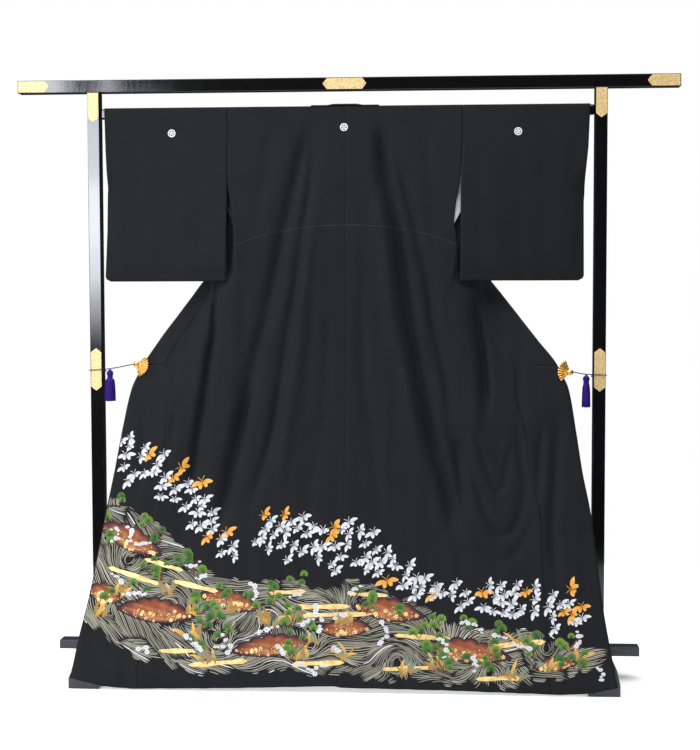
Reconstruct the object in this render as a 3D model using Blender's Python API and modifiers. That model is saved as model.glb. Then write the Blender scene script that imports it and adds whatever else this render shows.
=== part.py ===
"""A formal black kimono spread, back to the viewer, on a lacquered kimono stand.

Metres, +Z up. The stand's centre on the floor is the origin, +X runs to the viewer's right and the garment's back
faces -Y. The garment hangs over a rod through its sleeves, its fronts are drawn out to the sides like opened doors,
and a fan-shaped clip on a cord holds each front edge.
"""

import math
from collections import namedtuple

import bmesh
import bpy
import numpy as np
from mathutils import Matrix, Vector

COLLECTION_NAME = "kurotomesode_on_stand"
GAP = 0.0003
LEFT, RIGHT = -1, 1
SIDES = {"left": LEFT, "right": RIGHT}

# Stand
POST_SPACING = 1.3853
POST_WIDTH, POST_DEPTH = 0.033, 0.041
STAND_TOP = 1.6434
RAIL_LENGTH, RAIL_HEIGHT, RAIL_DEPTH = 1.8074, 0.034, 0.041
ROD_TOP, ROD_HEIGHT, ROD_DEPTH = 1.5655, 0.0285, 0.016
LOW_RAIL_LENGTH, LOW_RAIL_BOTTOM, LOW_RAIL_HEIGHT, LOW_RAIL_DEPTH = 1.612, 0.062, 0.025, 0.047
FOOT_WIDTH, FOOT_HEIGHT, FOOT_TOE_HEIGHT, FOOT_TOE_LENGTH = 0.083, 0.050, 0.030, 0.075
FOOT_FRONT, FOOT_REAR = -0.2100, 0.2178
WOOD_EDGE = 0.0015

# Gilded plates: the thickness that stands proud, and the reach of each along its rail or post
PLATE_THICKNESS, PLATE_POINT = 0.0012, 0.012
RAIL_PLATE_HEIGHT, RAIL_END_PLATE, RAIL_MIDDLE_PLATE = 0.030, 0.086, 0.119
POST_PLATE_WIDTH, POST_TOP_PLATE, POST_MIDDLE_PLATE = 0.0295, 0.080, 0.118
POST_MIDDLE_PLATE_Z = 0.848

# Cloth
WALL = 0.0016
COLLAR_WALL = 0.0024
LINING_WALL = 0.0010
SEAM_HALF = 0.00028
FRONT_COLUMNS, BACK_COLUMNS = 11, 15
NECK_HALF = 0.095
HEM_HEIGHT = 0.004

# Each row is a level of the cloth, from the shoulder line over the rod down to the hem, and holds Y values.
# back: the back panel. left, right: each front panel at its armhole or side edge. From there a front's course runs
# through the strip that faces the viewer, the pleat's fold, the turn behind it, and the free edge.
# collar, overlap: where the collar's seam and the overlap panel's seam lie along that course, from 0 to 1.
Level = namedtuple("Level", "z back left right strip pleat turn free collar overlap")
LEVELS = (
    Level(1.5676, 0.0000, 0.0000, 0.0000, 0.0000, 0.0000, 0.0000, 0.0000, 1.000, 1.000),
    Level(1.5660, -0.0065, 0.0065, 0.0065, 0.0065, 0.0065, 0.0065, 0.0065, 0.990, 0.990),
    Level(1.5615, -0.0100, 0.0100, 0.0100, 0.0100, 0.0100, 0.0100, 0.0100, 0.960, 0.960),
    Level(1.5530, -0.0112, 0.0112, 0.0112, 0.0114, 0.0116, 0.0116, 0.0114, 0.890, 0.890),
    Level(1.5250, -0.0140, 0.0120, 0.0120, 0.0150, 0.0190, 0.0190, 0.0165, 0.810, 0.810),
    Level(1.4800, -0.0200, 0.0130, 0.0130, 0.0290, 0.0400, 0.0380, 0.0210, 0.780, 0.780),
    Level(1.4300, -0.0265, 0.0140, 0.0140, 0.0400, 0.0560, 0.0520, 0.0280, 0.760, 0.760),
    Level(1.3850, -0.0325, 0.0145, 0.0145, 0.0470, 0.0680, 0.0640, 0.0360, 0.750, 0.750),
    Level(1.3400, -0.0370, 0.0140, 0.0145, 0.0480, 0.0750, 0.0720, 0.0440, 0.720, 0.720),
    Level(1.2950, -0.0420, -0.0130, 0.0140, 0.0250, 0.0680, 0.0780, 0.0520, 0.720, 0.720),
    Level(1.2500, -0.0470, -0.0470, 0.0080, 0.0100, 0.0580, 0.0740, 0.0600, 0.680, 0.680),
    Level(1.2050, -0.0510, -0.0510, -0.0200, -0.0050, 0.0420, 0.0600, 0.0680, 0.640, 0.640),
    Level(1.1600, -0.0555, -0.0555, -0.0555, -0.0180, 0.0200, 0.0430, 0.0570, 0.680, 0.680),
    Level(1.1200, -0.0590, -0.0590, -0.0590, -0.0300, 0.0060, 0.0290, 0.0430, 0.720, 0.720),
    Level(1.0900, -0.0620, -0.0620, -0.0620, -0.0480, -0.0150, 0.0120, 0.0260, 0.730, 0.730),
    Level(1.0500, -0.0655, -0.0655, -0.0655, -0.0625, -0.0400, -0.0060, 0.0060, 0.750, 0.735),
    Level(1.0000, -0.0705, -0.0705, -0.0705, -0.0710, -0.0520, -0.0220, -0.0160, 0.790, 0.745),
    Level(0.9300, -0.0785, -0.0785, -0.0785, -0.0810, -0.0660, -0.0420, -0.0400, 0.845, 0.750),
    Level(0.8610, -0.0875, -0.0875, -0.0875, -0.0915, -0.0790, -0.0620, -0.0575, 0.855, 0.750),
    Level(0.8550, -0.0884, -0.0884, -0.0884, -0.0925, -0.0805, -0.0635, -0.0586, 0.856, 0.752),
    Level(0.8000, -0.0965, -0.0965, -0.0965, -0.1010, -0.0920, -0.0800, -0.0690, 0.860, 0.770),
    Level(0.6930, -0.1120, -0.1120, -0.1120, -0.1170, -0.1080, -0.1050, -0.0930, 0.860, 0.740),
    Level(0.5800, -0.1295, -0.1295, -0.1295, -0.1335, -0.1240, -0.1260, -0.1170, 0.860, 0.710),
    Level(0.4760, -0.1455, -0.1455, -0.1455, -0.1480, -0.1420, -0.1445, -0.1390, 0.860, 0.710),
    Level(0.3500, -0.1650, -0.1650, -0.1650, -0.1665, -0.1620, -0.1645, -0.1610, 0.860, 0.690),
    Level(0.2335, -0.1835, -0.1835, -0.1835, -0.1850, -0.1815, -0.1840, -0.1815, 0.860, 0.680),
    Level(0.1200, -0.2010, -0.2010, -0.2010, -0.2020, -0.1995, -0.2015, -0.2000, 0.860, 0.660),
    Level(0.0040, -0.2165, -0.2165, -0.2165, -0.2170, -0.2160, -0.2170, -0.2165, 0.860, 0.630),
)
ARMHOLE_LEVEL, OVERLAP_TOP, COLLAR_TOP, COLLAR_END = 8, 15, 4, 18
HEM_LEVEL = len(LEVELS) - 1

# Outward X at each level: the back panel's side edge, and the front's course from its armhole or side edge through
# the strip, the pleat's fold and the turn to the free edge
Reach = namedtuple("Reach", "back front strip pleat turn free")
SHOULDER_REACHES = (
    Reach(0.3210, 0.3210, 0.2645, 0.2080, 0.1515, 0.0950),
    Reach(0.3210, 0.3210, 0.2645, 0.2080, 0.1510, 0.0930),
    Reach(0.3210, 0.3210, 0.2640, 0.2070, 0.1460, 0.0860),
    Reach(0.3210, 0.3210, 0.2630, 0.2050, 0.1370, 0.0750),
)
REACHES = {
    LEFT: SHOULDER_REACHES + (
        Reach(0.3210, 0.3210, 0.2620, 0.2000, 0.1300, 0.0580),
        Reach(0.3207, 0.3207, 0.2660, 0.2110, 0.1560, 0.0920),
        Reach(0.3203, 0.3203, 0.2780, 0.2280, 0.1830, 0.1290),
        Reach(0.3200, 0.3200, 0.3020, 0.2700, 0.2180, 0.1630),
        Reach(0.3175, 0.3185, 0.3175, 0.3215, 0.2520, 0.1970),
        Reach(0.3090, 0.3120, 0.3200, 0.3385, 0.2890, 0.2310),
        Reach(0.3040, 0.3040, 0.3140, 0.3540, 0.3050, 0.2650),
        Reach(0.2980, 0.2980, 0.3130, 0.3640, 0.3360, 0.3000),
        Reach(0.2980, 0.2980, 0.3140, 0.3660, 0.3560, 0.3340),
        Reach(0.2975, 0.2975, 0.3150, 0.3640, 0.3670, 0.3710),
        Reach(0.2960, 0.2960, 0.3230, 0.3600, 0.3720, 0.3983),
        Reach(0.2890, 0.2890, 0.3280, 0.3600, 0.3830, 0.4257),
        Reach(0.2790, 0.2790, 0.3290, 0.3640, 0.4010, 0.4606),
        Reach(0.2650, 0.2650, 0.3290, 0.3700, 0.4290, 0.5104),
        Reach(0.2530, 0.2530, 0.3300, 0.3800, 0.4530, 0.5537),
        Reach(0.2525, 0.2525, 0.3300, 0.3805, 0.4550, 0.5566),
        Reach(0.2500, 0.2500, 0.3300, 0.3850, 0.4680, 0.5822),
        Reach(0.2570, 0.2570, 0.3350, 0.3950, 0.4870, 0.6040),
        Reach(0.2570, 0.2570, 0.3400, 0.4100, 0.5090, 0.6220),
        Reach(0.2570, 0.2570, 0.3420, 0.4250, 0.5270, 0.6405),
        Reach(0.2620, 0.2620, 0.3500, 0.4400, 0.5460, 0.6630),
        Reach(0.2670, 0.2670, 0.3600, 0.4550, 0.5630, 0.6845),
        Reach(0.2720, 0.2720, 0.3700, 0.4700, 0.5820, 0.7090),
        Reach(0.2800, 0.2800, 0.3850, 0.4900, 0.6000, 0.7277),
    ),
    RIGHT: SHOULDER_REACHES + (
        Reach(0.3207, 0.3207, 0.2620, 0.2000, 0.1300, 0.0580),
        Reach(0.3200, 0.3200, 0.2660, 0.2120, 0.1580, 0.0950),
        Reach(0.3190, 0.3190, 0.2780, 0.2290, 0.1860, 0.1340),
        Reach(0.3147, 0.3150, 0.2930, 0.2530, 0.2150, 0.1690),
        Reach(0.3105, 0.3145, 0.3080, 0.2860, 0.2460, 0.2040),
        Reach(0.3020, 0.3140, 0.3150, 0.3300, 0.2880, 0.2400),
        Reach(0.2980, 0.3110, 0.3125, 0.3500, 0.3110, 0.2750),
        Reach(0.3040, 0.3085, 0.3130, 0.3640, 0.3420, 0.3100),
        Reach(0.3040, 0.3040, 0.3130, 0.3650, 0.3615, 0.3450),
        Reach(0.2980, 0.2980, 0.3130, 0.3640, 0.3650, 0.3760),
        Reach(0.2900, 0.2900, 0.3180, 0.3600, 0.3740, 0.3990),
        Reach(0.2740, 0.2740, 0.3200, 0.3580, 0.3840, 0.4290),
        Reach(0.2590, 0.2590, 0.3180, 0.3600, 0.4000, 0.4670),
        Reach(0.2560, 0.2560, 0.3220, 0.3680, 0.4300, 0.5237),
        Reach(0.2660, 0.2660, 0.3320, 0.3800, 0.4620, 0.5772),
        Reach(0.2670, 0.2670, 0.3330, 0.3805, 0.4630, 0.5800),
        Reach(0.2770, 0.2770, 0.3400, 0.3820, 0.4550, 0.6052),
        Reach(0.2840, 0.2840, 0.3500, 0.4050, 0.4930, 0.6233),
        Reach(0.2860, 0.2860, 0.3620, 0.4250, 0.5200, 0.6400),
        Reach(0.2880, 0.2880, 0.3700, 0.4450, 0.5450, 0.6600),
        Reach(0.2910, 0.2910, 0.3800, 0.4620, 0.5580, 0.6760),
        Reach(0.2950, 0.2950, 0.3880, 0.4750, 0.5700, 0.6900),
        Reach(0.2990, 0.2990, 0.3980, 0.4900, 0.5840, 0.7080),
        Reach(0.3040, 0.3040, 0.4080, 0.5080, 0.6000, 0.7270),
    ),
}
# First level at which back and front are sewn together at the side
SIDE_SEAM_TOP = {LEFT: 10, RIGHT: 12}

# X of the back seam by height, and how far the hem is lifted off its lowest line across the garment
BACK_SEAM = ((1.57, 0.000), (1.04, 0.006), (0.50, 0.005), (0.00, -0.008))
HEM_LIFT = (
    (-0.728, 0.0265), (-0.640, 0.0060), (-0.561, 0.0000), (-0.280, 0.0060), (-0.020, 0.0150), (0.000, 0.0110),
    (0.290, 0.0080), (0.582, 0.0010), (0.660, 0.0060), (0.728, 0.0220),
)
HEM_LIFT_REACH = 0.25

# The largest folds of the back and the lower fronts: a path of (x, z) from top to bottom, how wide the fold is to
# each side, and how deep it goes away from the viewer. A negative depth is a ridge.
Fold = namedtuple("Fold", "name path width depth")
FOLDS = (
    Fold("left_outer", ((-0.099, 1.54), (-0.148, 1.298), (-0.193, 1.088), (-0.235, 0.91), (-0.322, 0.43)), 0.020, 0.010),
    Fold("left_inner", ((-0.086, 1.52), (-0.101, 1.297), (-0.127, 1.088), (-0.166, 0.829), (-0.249, 0.47)), 0.017, 0.007),
    Fold("left_crown", ((-0.085, 1.32), (-0.101, 1.142), (-0.126, 0.872), (-0.169, 0.516)), 0.020, -0.006),
    Fold("right_deep", ((0.097, 1.54), (0.124, 1.296), (0.16, 1.088), (0.199, 0.856), (0.306, 0.388)), 0.021, 0.018),
    Fold("right_outer", ((0.132, 1.46), (0.17, 1.323), (0.225, 1.087), (0.26, 0.91), (0.295, 0.697)), 0.015, 0.007),
    Fold("right_crown", ((0.089, 1.369), (0.117, 1.142), (0.139, 0.964), (0.207, 0.606)), 0.022, -0.008),
    Fold("left_hip", ((-0.256, 0.81), (-0.274, 0.72), (-0.31, 0.56), (-0.335, 0.38)), 0.018, 0.010),
    Fold("right_hip", ((0.288, 0.75), (0.309, 0.607), (0.333, 0.42)), 0.018, 0.010),
)
FOLD_TAPER = 0.12

# Sleeves: outward X of the inner and the outer edge by height, and Y of both layers at both edges
SLEEVE_BOTTOM = 1.0915
SLEEVE_LOW_LEVELS = (1.300, 1.250, 1.200, 1.150, 1.115, 1.100, SLEEVE_BOTTOM)
SLEEVE_INNER = {
    LEFT: ((1.57, 0.3216), (1.40, 0.3208), (1.34, 0.3206), (1.09, 0.3230)),
    RIGHT: ((1.57, 0.3216), (1.50, 0.3213), (1.43, 0.3198), (1.385, 0.3162), (1.34, 0.3157), (1.09, 0.3145)),
}
SLEEVE_OUTER = {
    LEFT: ((1.57, 0.6640), (1.45, 0.6610), (1.35, 0.6565), (1.23, 0.6575), (1.09, 0.6625)),
    RIGHT: ((1.57, 0.6640), (1.45, 0.6590), (1.38, 0.6520), (1.30, 0.6470), (1.09, 0.6475)),
}
SLEEVE_BACK_OUTER = ((1.09, -0.0270), (1.34, -0.0150), (1.553, -0.0112))
SLEEVE_FAR_INNER = ((1.09, -0.0490), (1.25, -0.0170), (1.34, 0.0130))
SLEEVE_FAR_OUTER = ((1.09, -0.0130), (1.34, 0.0080), (1.553, 0.0112))
SLEEVE_COLUMNS = 7
SLEEVE_CORNER = 0.015
SLEEVE_FOLD = 0.005
CUFF_SEAM_REACH = 0.035

# Collar where it lies over the rod at the neck
NECK_BAND_HALF, NECK_BAND_REAR, NECK_BAND_HANG, NECK_LEVELS = 0.0925, 1.5260, 0.0175, 4
NECK_CROWN, NECK_CROWN_HALF = 0.0012, 0.055

# Lining seen through the right armhole slit: its levels and columns on the right front
LINING_TOP, LINING_FOOT, LINING_COLUMNS = 6, 9, (0.15, 1, 2, 3)

# Clips, cords and tassels. Pivot: X outward and Z of the fan's hub.
CLIP_PIVOT = {LEFT: (0.5715, 0.8640), RIGHT: (0.6100, 0.8440)}
FAN_RADIUS, FAN_ANGLE, FAN_RIBS, FAN_SHEET, FAN_WAVE = 0.034, math.radians(116), 9, 0.0012, 0.0010
# How far each fan leans up from level, towards the cloth
FAN_LEAN = {LEFT: math.radians(-20), RIGHT: math.radians(12)}
FAN_Y, FAN_SLOPE = {LEFT: -0.0612, RIGHT: -0.0645}, 0.17
HUB_RADIUS, HUB_LENGTH = 0.0086, 0.0042
CORD_DIAMETER, CORD_POINTS = 0.0025, 72
CORD_START, CORD_CLEARANCE, CORD_DROP = 0.0009, 0.0007, {LEFT: 0.017, RIGHT: 0.009}
TASSEL_X = {LEFT: 0.6510, RIGHT: 0.6550}
TASSEL_RADIUS = {LEFT: 0.0155, RIGHT: 0.0120}
TASSEL_LENGTH, TASSEL_HEAD = 0.088, 0.0075


def material(name, colour, roughness, metallic=0.0):
    made = bpy.data.materials.new(name)
    made.use_nodes = True
    shader = made.node_tree.nodes["Principled BSDF"]
    shader.inputs["Base Color"].default_value = (*colour, 1.0)
    shader.inputs["Roughness"].default_value = roughness
    shader.inputs["Metallic"].default_value = metallic
    return made


def add_object(name, mesh, finish):
    made = bpy.data.objects.new(name, mesh)
    made.data.materials.append(finish)
    bpy.data.collections[COLLECTION_NAME].objects.link(made)
    return made


def mesh_of(bm, name):
    mesh = bpy.data.meshes.new(name)
    bm.to_mesh(mesh)
    bm.free()
    return mesh


# Cloth surfaces


def through(table, place):
    """The smooth curve through the rows of a table, at fractional row numbers."""
    table = np.asarray(table, float)
    last = len(table) - 1
    place = np.clip(place, 0, last)
    low = np.minimum(place.astype(int), last - 1)
    part = place - low
    start, end = table[low], table[low + 1]
    before = np.where(low > 0, table[np.maximum(low - 1, 0)], 2 * start - end)
    after = np.where(low + 2 <= last, table[np.minimum(low + 2, last)], 2 * end - start)
    bend = 2 * before - 5 * start + 4 * end - after
    twist = 3 * (start - end) + after - before
    return start + 0.5 * part * ((end - before) + part * (bend + part * twist))


def column(name, level):
    return through([getattr(row, name) for row in LEVELS], level)


def reach(side, name, level):
    return through([getattr(row, name) for row in REACHES[side]], level)


def looked_up(pairs, value):
    ordered = sorted(pairs)
    return np.interp(value, [pair[0] for pair in ordered], [pair[1] for pair in ordered])


def ease(value):
    value = np.clip(value, 0, 1)
    return value * value * (3 - 2 * value)


def fold_depth(x, z):
    """How far the folds carry the point (x, z) of the flat outline away from the viewer."""
    total = np.zeros(np.broadcast(x, z).shape)
    for fold in FOLDS:
        path = np.array(fold.path)
        nearest = np.full(total.shape, np.inf)
        for start, end in zip(path[:-1], path[1:]):
            run = end - start
            along = np.clip(((x - start[0]) * run[0] + (z - start[1]) * run[1]) / (run @ run), 0, 1)
            away = np.hypot(x - start[0] - along * run[0], z - start[1] - along * run[1])
            nearest = np.minimum(nearest, away)
        ends = ease((path[0][1] - z) / FOLD_TAPER) * ease((z - path[-1][1]) / FOLD_TAPER)
        total += fold.depth * np.exp(-((nearest / fold.width) ** 2)) * ends
    return total


def hem_lift(x, z):
    return looked_up(HEM_LIFT, x) * np.clip(1 - (z - HEM_HEIGHT) / HEM_LIFT_REACH, 0, 1) ** 2


def placed(x, y, z):
    return np.stack([x, y, z + hem_lift(x, z)], axis=-1)


def back_place(side, across, level):
    """The back panel: across runs from 0 at the side to 1 at the back seam."""
    z = column("z", level)
    outer = side * reach(side, "back", level)
    seam = looked_up(BACK_SEAM, z) + side * SEAM_HALF
    x = outer + (seam - outer) * across
    return placed(x, column("back", level) + fold_depth(x, z), z)


def front_place(side, across, level):
    """The front's course: across runs from 0 at the armhole and side to 1 at the free edge."""
    z = column("z", level)
    xs = [reach(side, name, level) for name in ("front", "strip", "pleat", "turn", "free")]
    ys = [column(name, level) for name in ("left" if side == LEFT else "right", "strip", "pleat", "turn", "free")]
    x, y = (course(values, across) for values in (xs, ys))
    outward = side * x
    facing = ease((level - SIDE_SEAM_TOP[side] + 2) / 2)
    return placed(outward, y + fold_depth(outward, z) * facing, z)


def course(values, across):
    """The smooth curve through five points of one level."""
    shape = np.broadcast(across, values[0]).shape
    rows = np.stack([np.broadcast_to(value, shape) for value in values])
    place = np.clip(np.broadcast_to(across, shape) * 4, 0, 4)
    low = np.minimum(place.astype(int), 3)
    part = place - low

    def row(number):
        return np.take_along_axis(rows, number[None], axis=0)[0]

    start, end = row(low), row(low + 1)
    before = np.where(low > 0, row(np.maximum(low - 1, 0)), 2 * start - end)
    after = np.where(low < 3, row(np.minimum(low + 2, 4)), 2 * end - start)
    bend = 2 * before - 5 * start + 4 * end - after
    twist = 3 * (start - end) + after - before
    return start + 0.5 * part * ((end - before) + part * (bend + part * twist))


def seam_step(side, across, level):
    """How much of the course makes half a seam's gap there."""
    near = front_place(side, np.clip(across - 0.005, 0, 1), level)
    far = front_place(side, np.clip(across + 0.005, 0, 1), level)
    spread = np.clip(across + 0.005, 0, 1) - np.clip(across - 0.005, 0, 1)
    return SEAM_HALF * spread / np.linalg.norm(far - near, axis=-1)


def body_edge(side, level):
    """Where the front panel ends: at the collar above, and at the overlap panel below."""
    seam = np.where(level < OVERLAP_TOP, column("collar", level), column("overlap", level))
    return seam - seam_step(side, seam, level)


def add_sheet(bm, columns, rows, place):
    """A grid of faces whose corners lie at place(column, row)."""
    corners = bmesh.ops.create_grid(bm, x_segments=columns, y_segments=rows, size=0.5)["verts"]
    counts = np.array([[(corner.co.x + 0.5) * columns, (corner.co.y + 0.5) * rows] for corner in corners])
    counts = np.round(counts)
    for corner, point in zip(corners, place(counts[:, 0], counts[:, 1])):
        corner.co = point


def add_cloth(name, bm, wall, finish):
    bmesh.ops.remove_doubles(bm, verts=bm.verts, dist=0.00002)
    bmesh.ops.recalc_face_normals(bm, faces=bm.faces)
    made = add_object(name, mesh_of(bm, name), finish)
    thickness = made.modifiers.new("Wall", "SOLIDIFY")
    thickness.thickness = wall
    thickness.offset = 0
    thickness.use_even_offset = True
    return made


def make_body(name, side, finish):
    """One length of cloth: up the back, over the shoulder and down the front, joined at the side below the armhole."""
    neck_column = FRONT_COLUMNS
    shoulder_end = float(body_edge(side, np.zeros(1))[0])

    def back(columns, rows):
        x_shares = np.interp(columns, (0, neck_column, BACK_COLUMNS), (0, 1 - NECK_HALF / 0.321, 1))
        places = back_place(side, x_shares, rows)
        on_shoulder = (rows == 0) & (columns <= neck_column)
        shared = front_place(side, shoulder_end * columns / neck_column, np.zeros(len(rows)))
        return np.where(on_shoulder[:, None], shared, places)

    def front(columns, rows):
        edge = body_edge(side, rows)
        places = front_place(side, edge * columns / FRONT_COLUMNS, rows)
        at_side_seam = (columns == 0) & (rows >= SIDE_SEAM_TOP[side])
        return np.where(at_side_seam[:, None], back_place(side, np.zeros(len(rows)), rows), places)

    bm = bmesh.new()
    add_sheet(bm, BACK_COLUMNS, HEM_LEVEL, back)
    add_sheet(bm, FRONT_COLUMNS, HEM_LEVEL, front)
    return add_cloth(name, bm, WALL, finish)


def make_overlap(name, side, finish):
    """The narrow front panel, from its point on the collar's seam down to the hem."""
    columns = 5

    def place(column_numbers, row_numbers):
        level = row_numbers + OVERLAP_TOP
        inner, outer = column("overlap", level), column("collar", level)
        inner = inner + seam_step(side, inner, level)
        outer = np.where(level > COLLAR_END, 1, outer - seam_step(side, outer, level))
        return front_place(side, inner + (outer - inner) * column_numbers / columns, level)

    bm = bmesh.new()
    add_sheet(bm, columns, HEM_LEVEL - OVERLAP_TOP, place)
    return add_cloth(name, bm, WALL, finish)


def make_collar_front(name, side, finish):
    """The collar's stretch down one front, to its end at the clip."""
    columns = 3
    end = COLLAR_END - 0.02

    def place(column_numbers, row_numbers):
        level = np.minimum(row_numbers + COLLAR_TOP, end)
        inner = column("collar", np.minimum(level, COLLAR_END))
        inner = inner + seam_step(side, inner, level)
        return front_place(side, inner + (1 - inner) * column_numbers / columns, level)

    bm = bmesh.new()
    add_sheet(bm, columns, COLLAR_END - COLLAR_TOP, place)
    return add_cloth(name, bm, WALL, finish)


def neck_course():
    """The collar's course over the rod, as (y, z) from back to front: the shoulder's own points moved out."""
    clear = WALL / 2 + GAP + COLLAR_WALL / 2
    shoulder = [(level.back, level.z) for level in LEVELS[:NECK_LEVELS]]
    under = np.array(shoulder[::-1] + [(-y, z) for y, z in shoulder[1:]])
    before = np.vstack([under[:1], under[:-1]])
    after = np.vstack([under[1:], under[-1:]])
    run = after - before
    outward = np.stack([-run[:, 1], run[:, 0]], axis=-1) / np.linalg.norm(run, axis=-1, keepdims=True)
    over = under + outward * clear
    return [tuple(point) for point in over] + [(NECK_BAND_HANG, NECK_BAND_REAR)]


def make_collar_neck(name, finish):
    """The collar's stretch over the rod, between the two shoulders."""
    profile = neck_course()
    columns = 10

    def place(column_numbers, row_numbers):
        x = NECK_BAND_HALF * (2 * column_numbers / columns - 1)
        y = through([point[0] for point in profile], row_numbers)
        z = through([point[1] for point in profile], row_numbers)
        crown = NECK_CROWN * ease((NECK_CROWN_HALF - abs(x)) / 0.02) * ease((z - 1.555) / 0.01)
        return np.stack([x, y, z + crown], axis=-1)

    bm = bmesh.new()
    add_sheet(bm, columns, len(profile) - 1, place)
    return add_cloth(name, bm, COLLAR_WALL, finish)


def sleeve_heights():
    upper = [LEVELS[number].z for number in range(ARMHOLE_LEVEL + 1)]
    return np.array(upper + list(SLEEVE_LOW_LEVELS))


def sleeve_layer(side, across, row, far):
    """One layer of a sleeve: across runs from 0 at the inner edge to 1 at the cuff."""
    heights = sleeve_heights()
    z = through(heights, row)
    levels = np.interp(-z, [-level.z for level in LEVELS], range(len(LEVELS)))
    on_rod = row <= 3
    rim = column("back", np.minimum(row, 3)) * (-1 if far else 1)
    if far:
        inner = np.where(z > 1.34, column("left", levels), looked_up(SLEEVE_FAR_INNER, z))
        outer = looked_up(SLEEVE_FAR_OUTER, z)
    else:
        inner = column("back", levels)
        outer = looked_up(SLEEVE_BACK_OUTER, z)
    inner, outer = (np.where(on_rod, rim, value) for value in (inner, outer))
    corner = SLEEVE_CORNER - np.sqrt(
        np.maximum(SLEEVE_CORNER**2 - np.maximum(SLEEVE_BOTTOM + SLEEVE_CORNER - z, 0) ** 2, 0)
    )
    start = looked_up(SLEEVE_INNER[side], z)
    end = looked_up(SLEEVE_OUTER[side], z) - corner
    return start + (end - start) * across, inner + (outer - inner) * across, z


def sleeve_place(side, across, row, far):
    near = sleeve_layer(side, across, row, False)
    rear = sleeve_layer(side, across, row, True)
    x, z = near[0], near[2]
    middle, half = (near[1] + rear[1]) / 2, (rear[1] - near[1]) / 2
    to_cuff = looked_up(SLEEVE_OUTER[side], z) - x
    cuff_closed = ease((1.40 - z) / 0.06) * ease((CUFF_SEAM_REACH - to_cuff) / CUFF_SEAM_REACH)
    bottom_closed = ease((SLEEVE_BOTTOM + 0.04 - z) / 0.04)
    closed = np.maximum(cuff_closed, bottom_closed)
    half = half + (SLEEVE_FOLD / 2 - half) * closed
    return np.stack([side * x, middle + half * (1 if far else -1), z], axis=-1)


def make_sleeve(name, side, finish):
    """A length of cloth folded over the rod, closed below and along the lower cuff edge, open at the cuff above."""
    last = len(sleeve_heights()) - 1
    around = 2 * last + 1

    def tube(columns, rows):
        far = rows > last
        row = np.where(far, around - rows, rows)
        across = columns / SLEEVE_COLUMNS
        near_places = sleeve_place(side, across, row, False)
        far_places = sleeve_place(side, across, row, True)
        return np.where(far[:, None], far_places, near_places)

    def cuff_seam(columns, rows):
        row = rows + ARMHOLE_LEVEL
        across = np.ones(len(rows))
        near_places = sleeve_place(side, across, row, False)
        far_places = sleeve_place(side, across, row, True)
        return np.where((columns == 1)[:, None], far_places, near_places)

    bm = bmesh.new()
    add_sheet(bm, SLEEVE_COLUMNS, around, tube)
    add_sheet(bm, 1, last - ARMHOLE_LEVEL, cuff_seam)
    return add_cloth(name, bm, WALL, finish)


def make_lining(name, side, finish):
    """The stretch of lining inside one front, made from the front's own points and moved in."""
    columns, rows = len(LINING_COLUMNS) - 1, LINING_FOOT - LINING_TOP
    inside = WALL / 2 + 2 * GAP + LINING_WALL / 2

    def place(column_numbers, row_numbers):
        level = LINING_TOP + row_numbers
        body_column = np.array(LINING_COLUMNS)[column_numbers.astype(int)]
        across = body_edge(side, level) * body_column / FRONT_COLUMNS
        here = front_place(side, across, level)
        along = front_place(side, across + 0.01, level) - here
        down = front_place(side, across, level + 0.1) - here
        normal = np.cross(along, down)
        return here + side * inside * normal / np.linalg.norm(normal, axis=-1, keepdims=True)

    bm = bmesh.new()
    add_sheet(bm, columns, rows, place)
    return add_cloth(name, bm, LINING_WALL, finish)


# Stand


def make_board(name, size, centre, finish, edge=WOOD_EDGE):
    bm = bmesh.new()
    bmesh.ops.create_cube(bm, size=1)
    bmesh.ops.scale(bm, vec=Vector(size), verts=bm.verts)
    made = add_object(name, mesh_of(bm, name), finish)
    made.location = centre
    rounding = made.modifiers.new("Edge", "BEVEL")
    rounding.width = edge
    rounding.segments = 2
    return made


def make_foot(name, side, finish):
    """A board under the post, running fore and aft, with toes that slope down at both ends."""
    length = FOOT_REAR - FOOT_FRONT
    half = length / 2
    outline = (
        (-half, 0), (half, 0), (half, FOOT_TOE_HEIGHT), (half - FOOT_TOE_LENGTH, FOOT_HEIGHT),
        (FOOT_TOE_LENGTH - half, FOOT_HEIGHT), (-half, FOOT_TOE_HEIGHT),
    )
    bm = bmesh.new()
    corners = [bm.verts.new((-FOOT_WIDTH / 2, y, z)) for y, z in outline]
    face = bm.faces.new(corners)
    grown = bmesh.ops.extrude_face_region(bm, geom=[face])["geom"]
    moved = [item for item in grown if isinstance(item, bmesh.types.BMVert)]
    bmesh.ops.translate(bm, vec=(FOOT_WIDTH, 0, 0), verts=moved)
    bmesh.ops.recalc_face_normals(bm, faces=bm.faces)
    made = add_object(name, mesh_of(bm, name), finish)
    made.location = (side * POST_SPACING / 2, (FOOT_REAR + FOOT_FRONT) / 2, 0)
    rounding = made.modifiers.new("Edge", "BEVEL")
    rounding.width = WOOD_EDGE
    rounding.segments = 2
    return made


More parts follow.
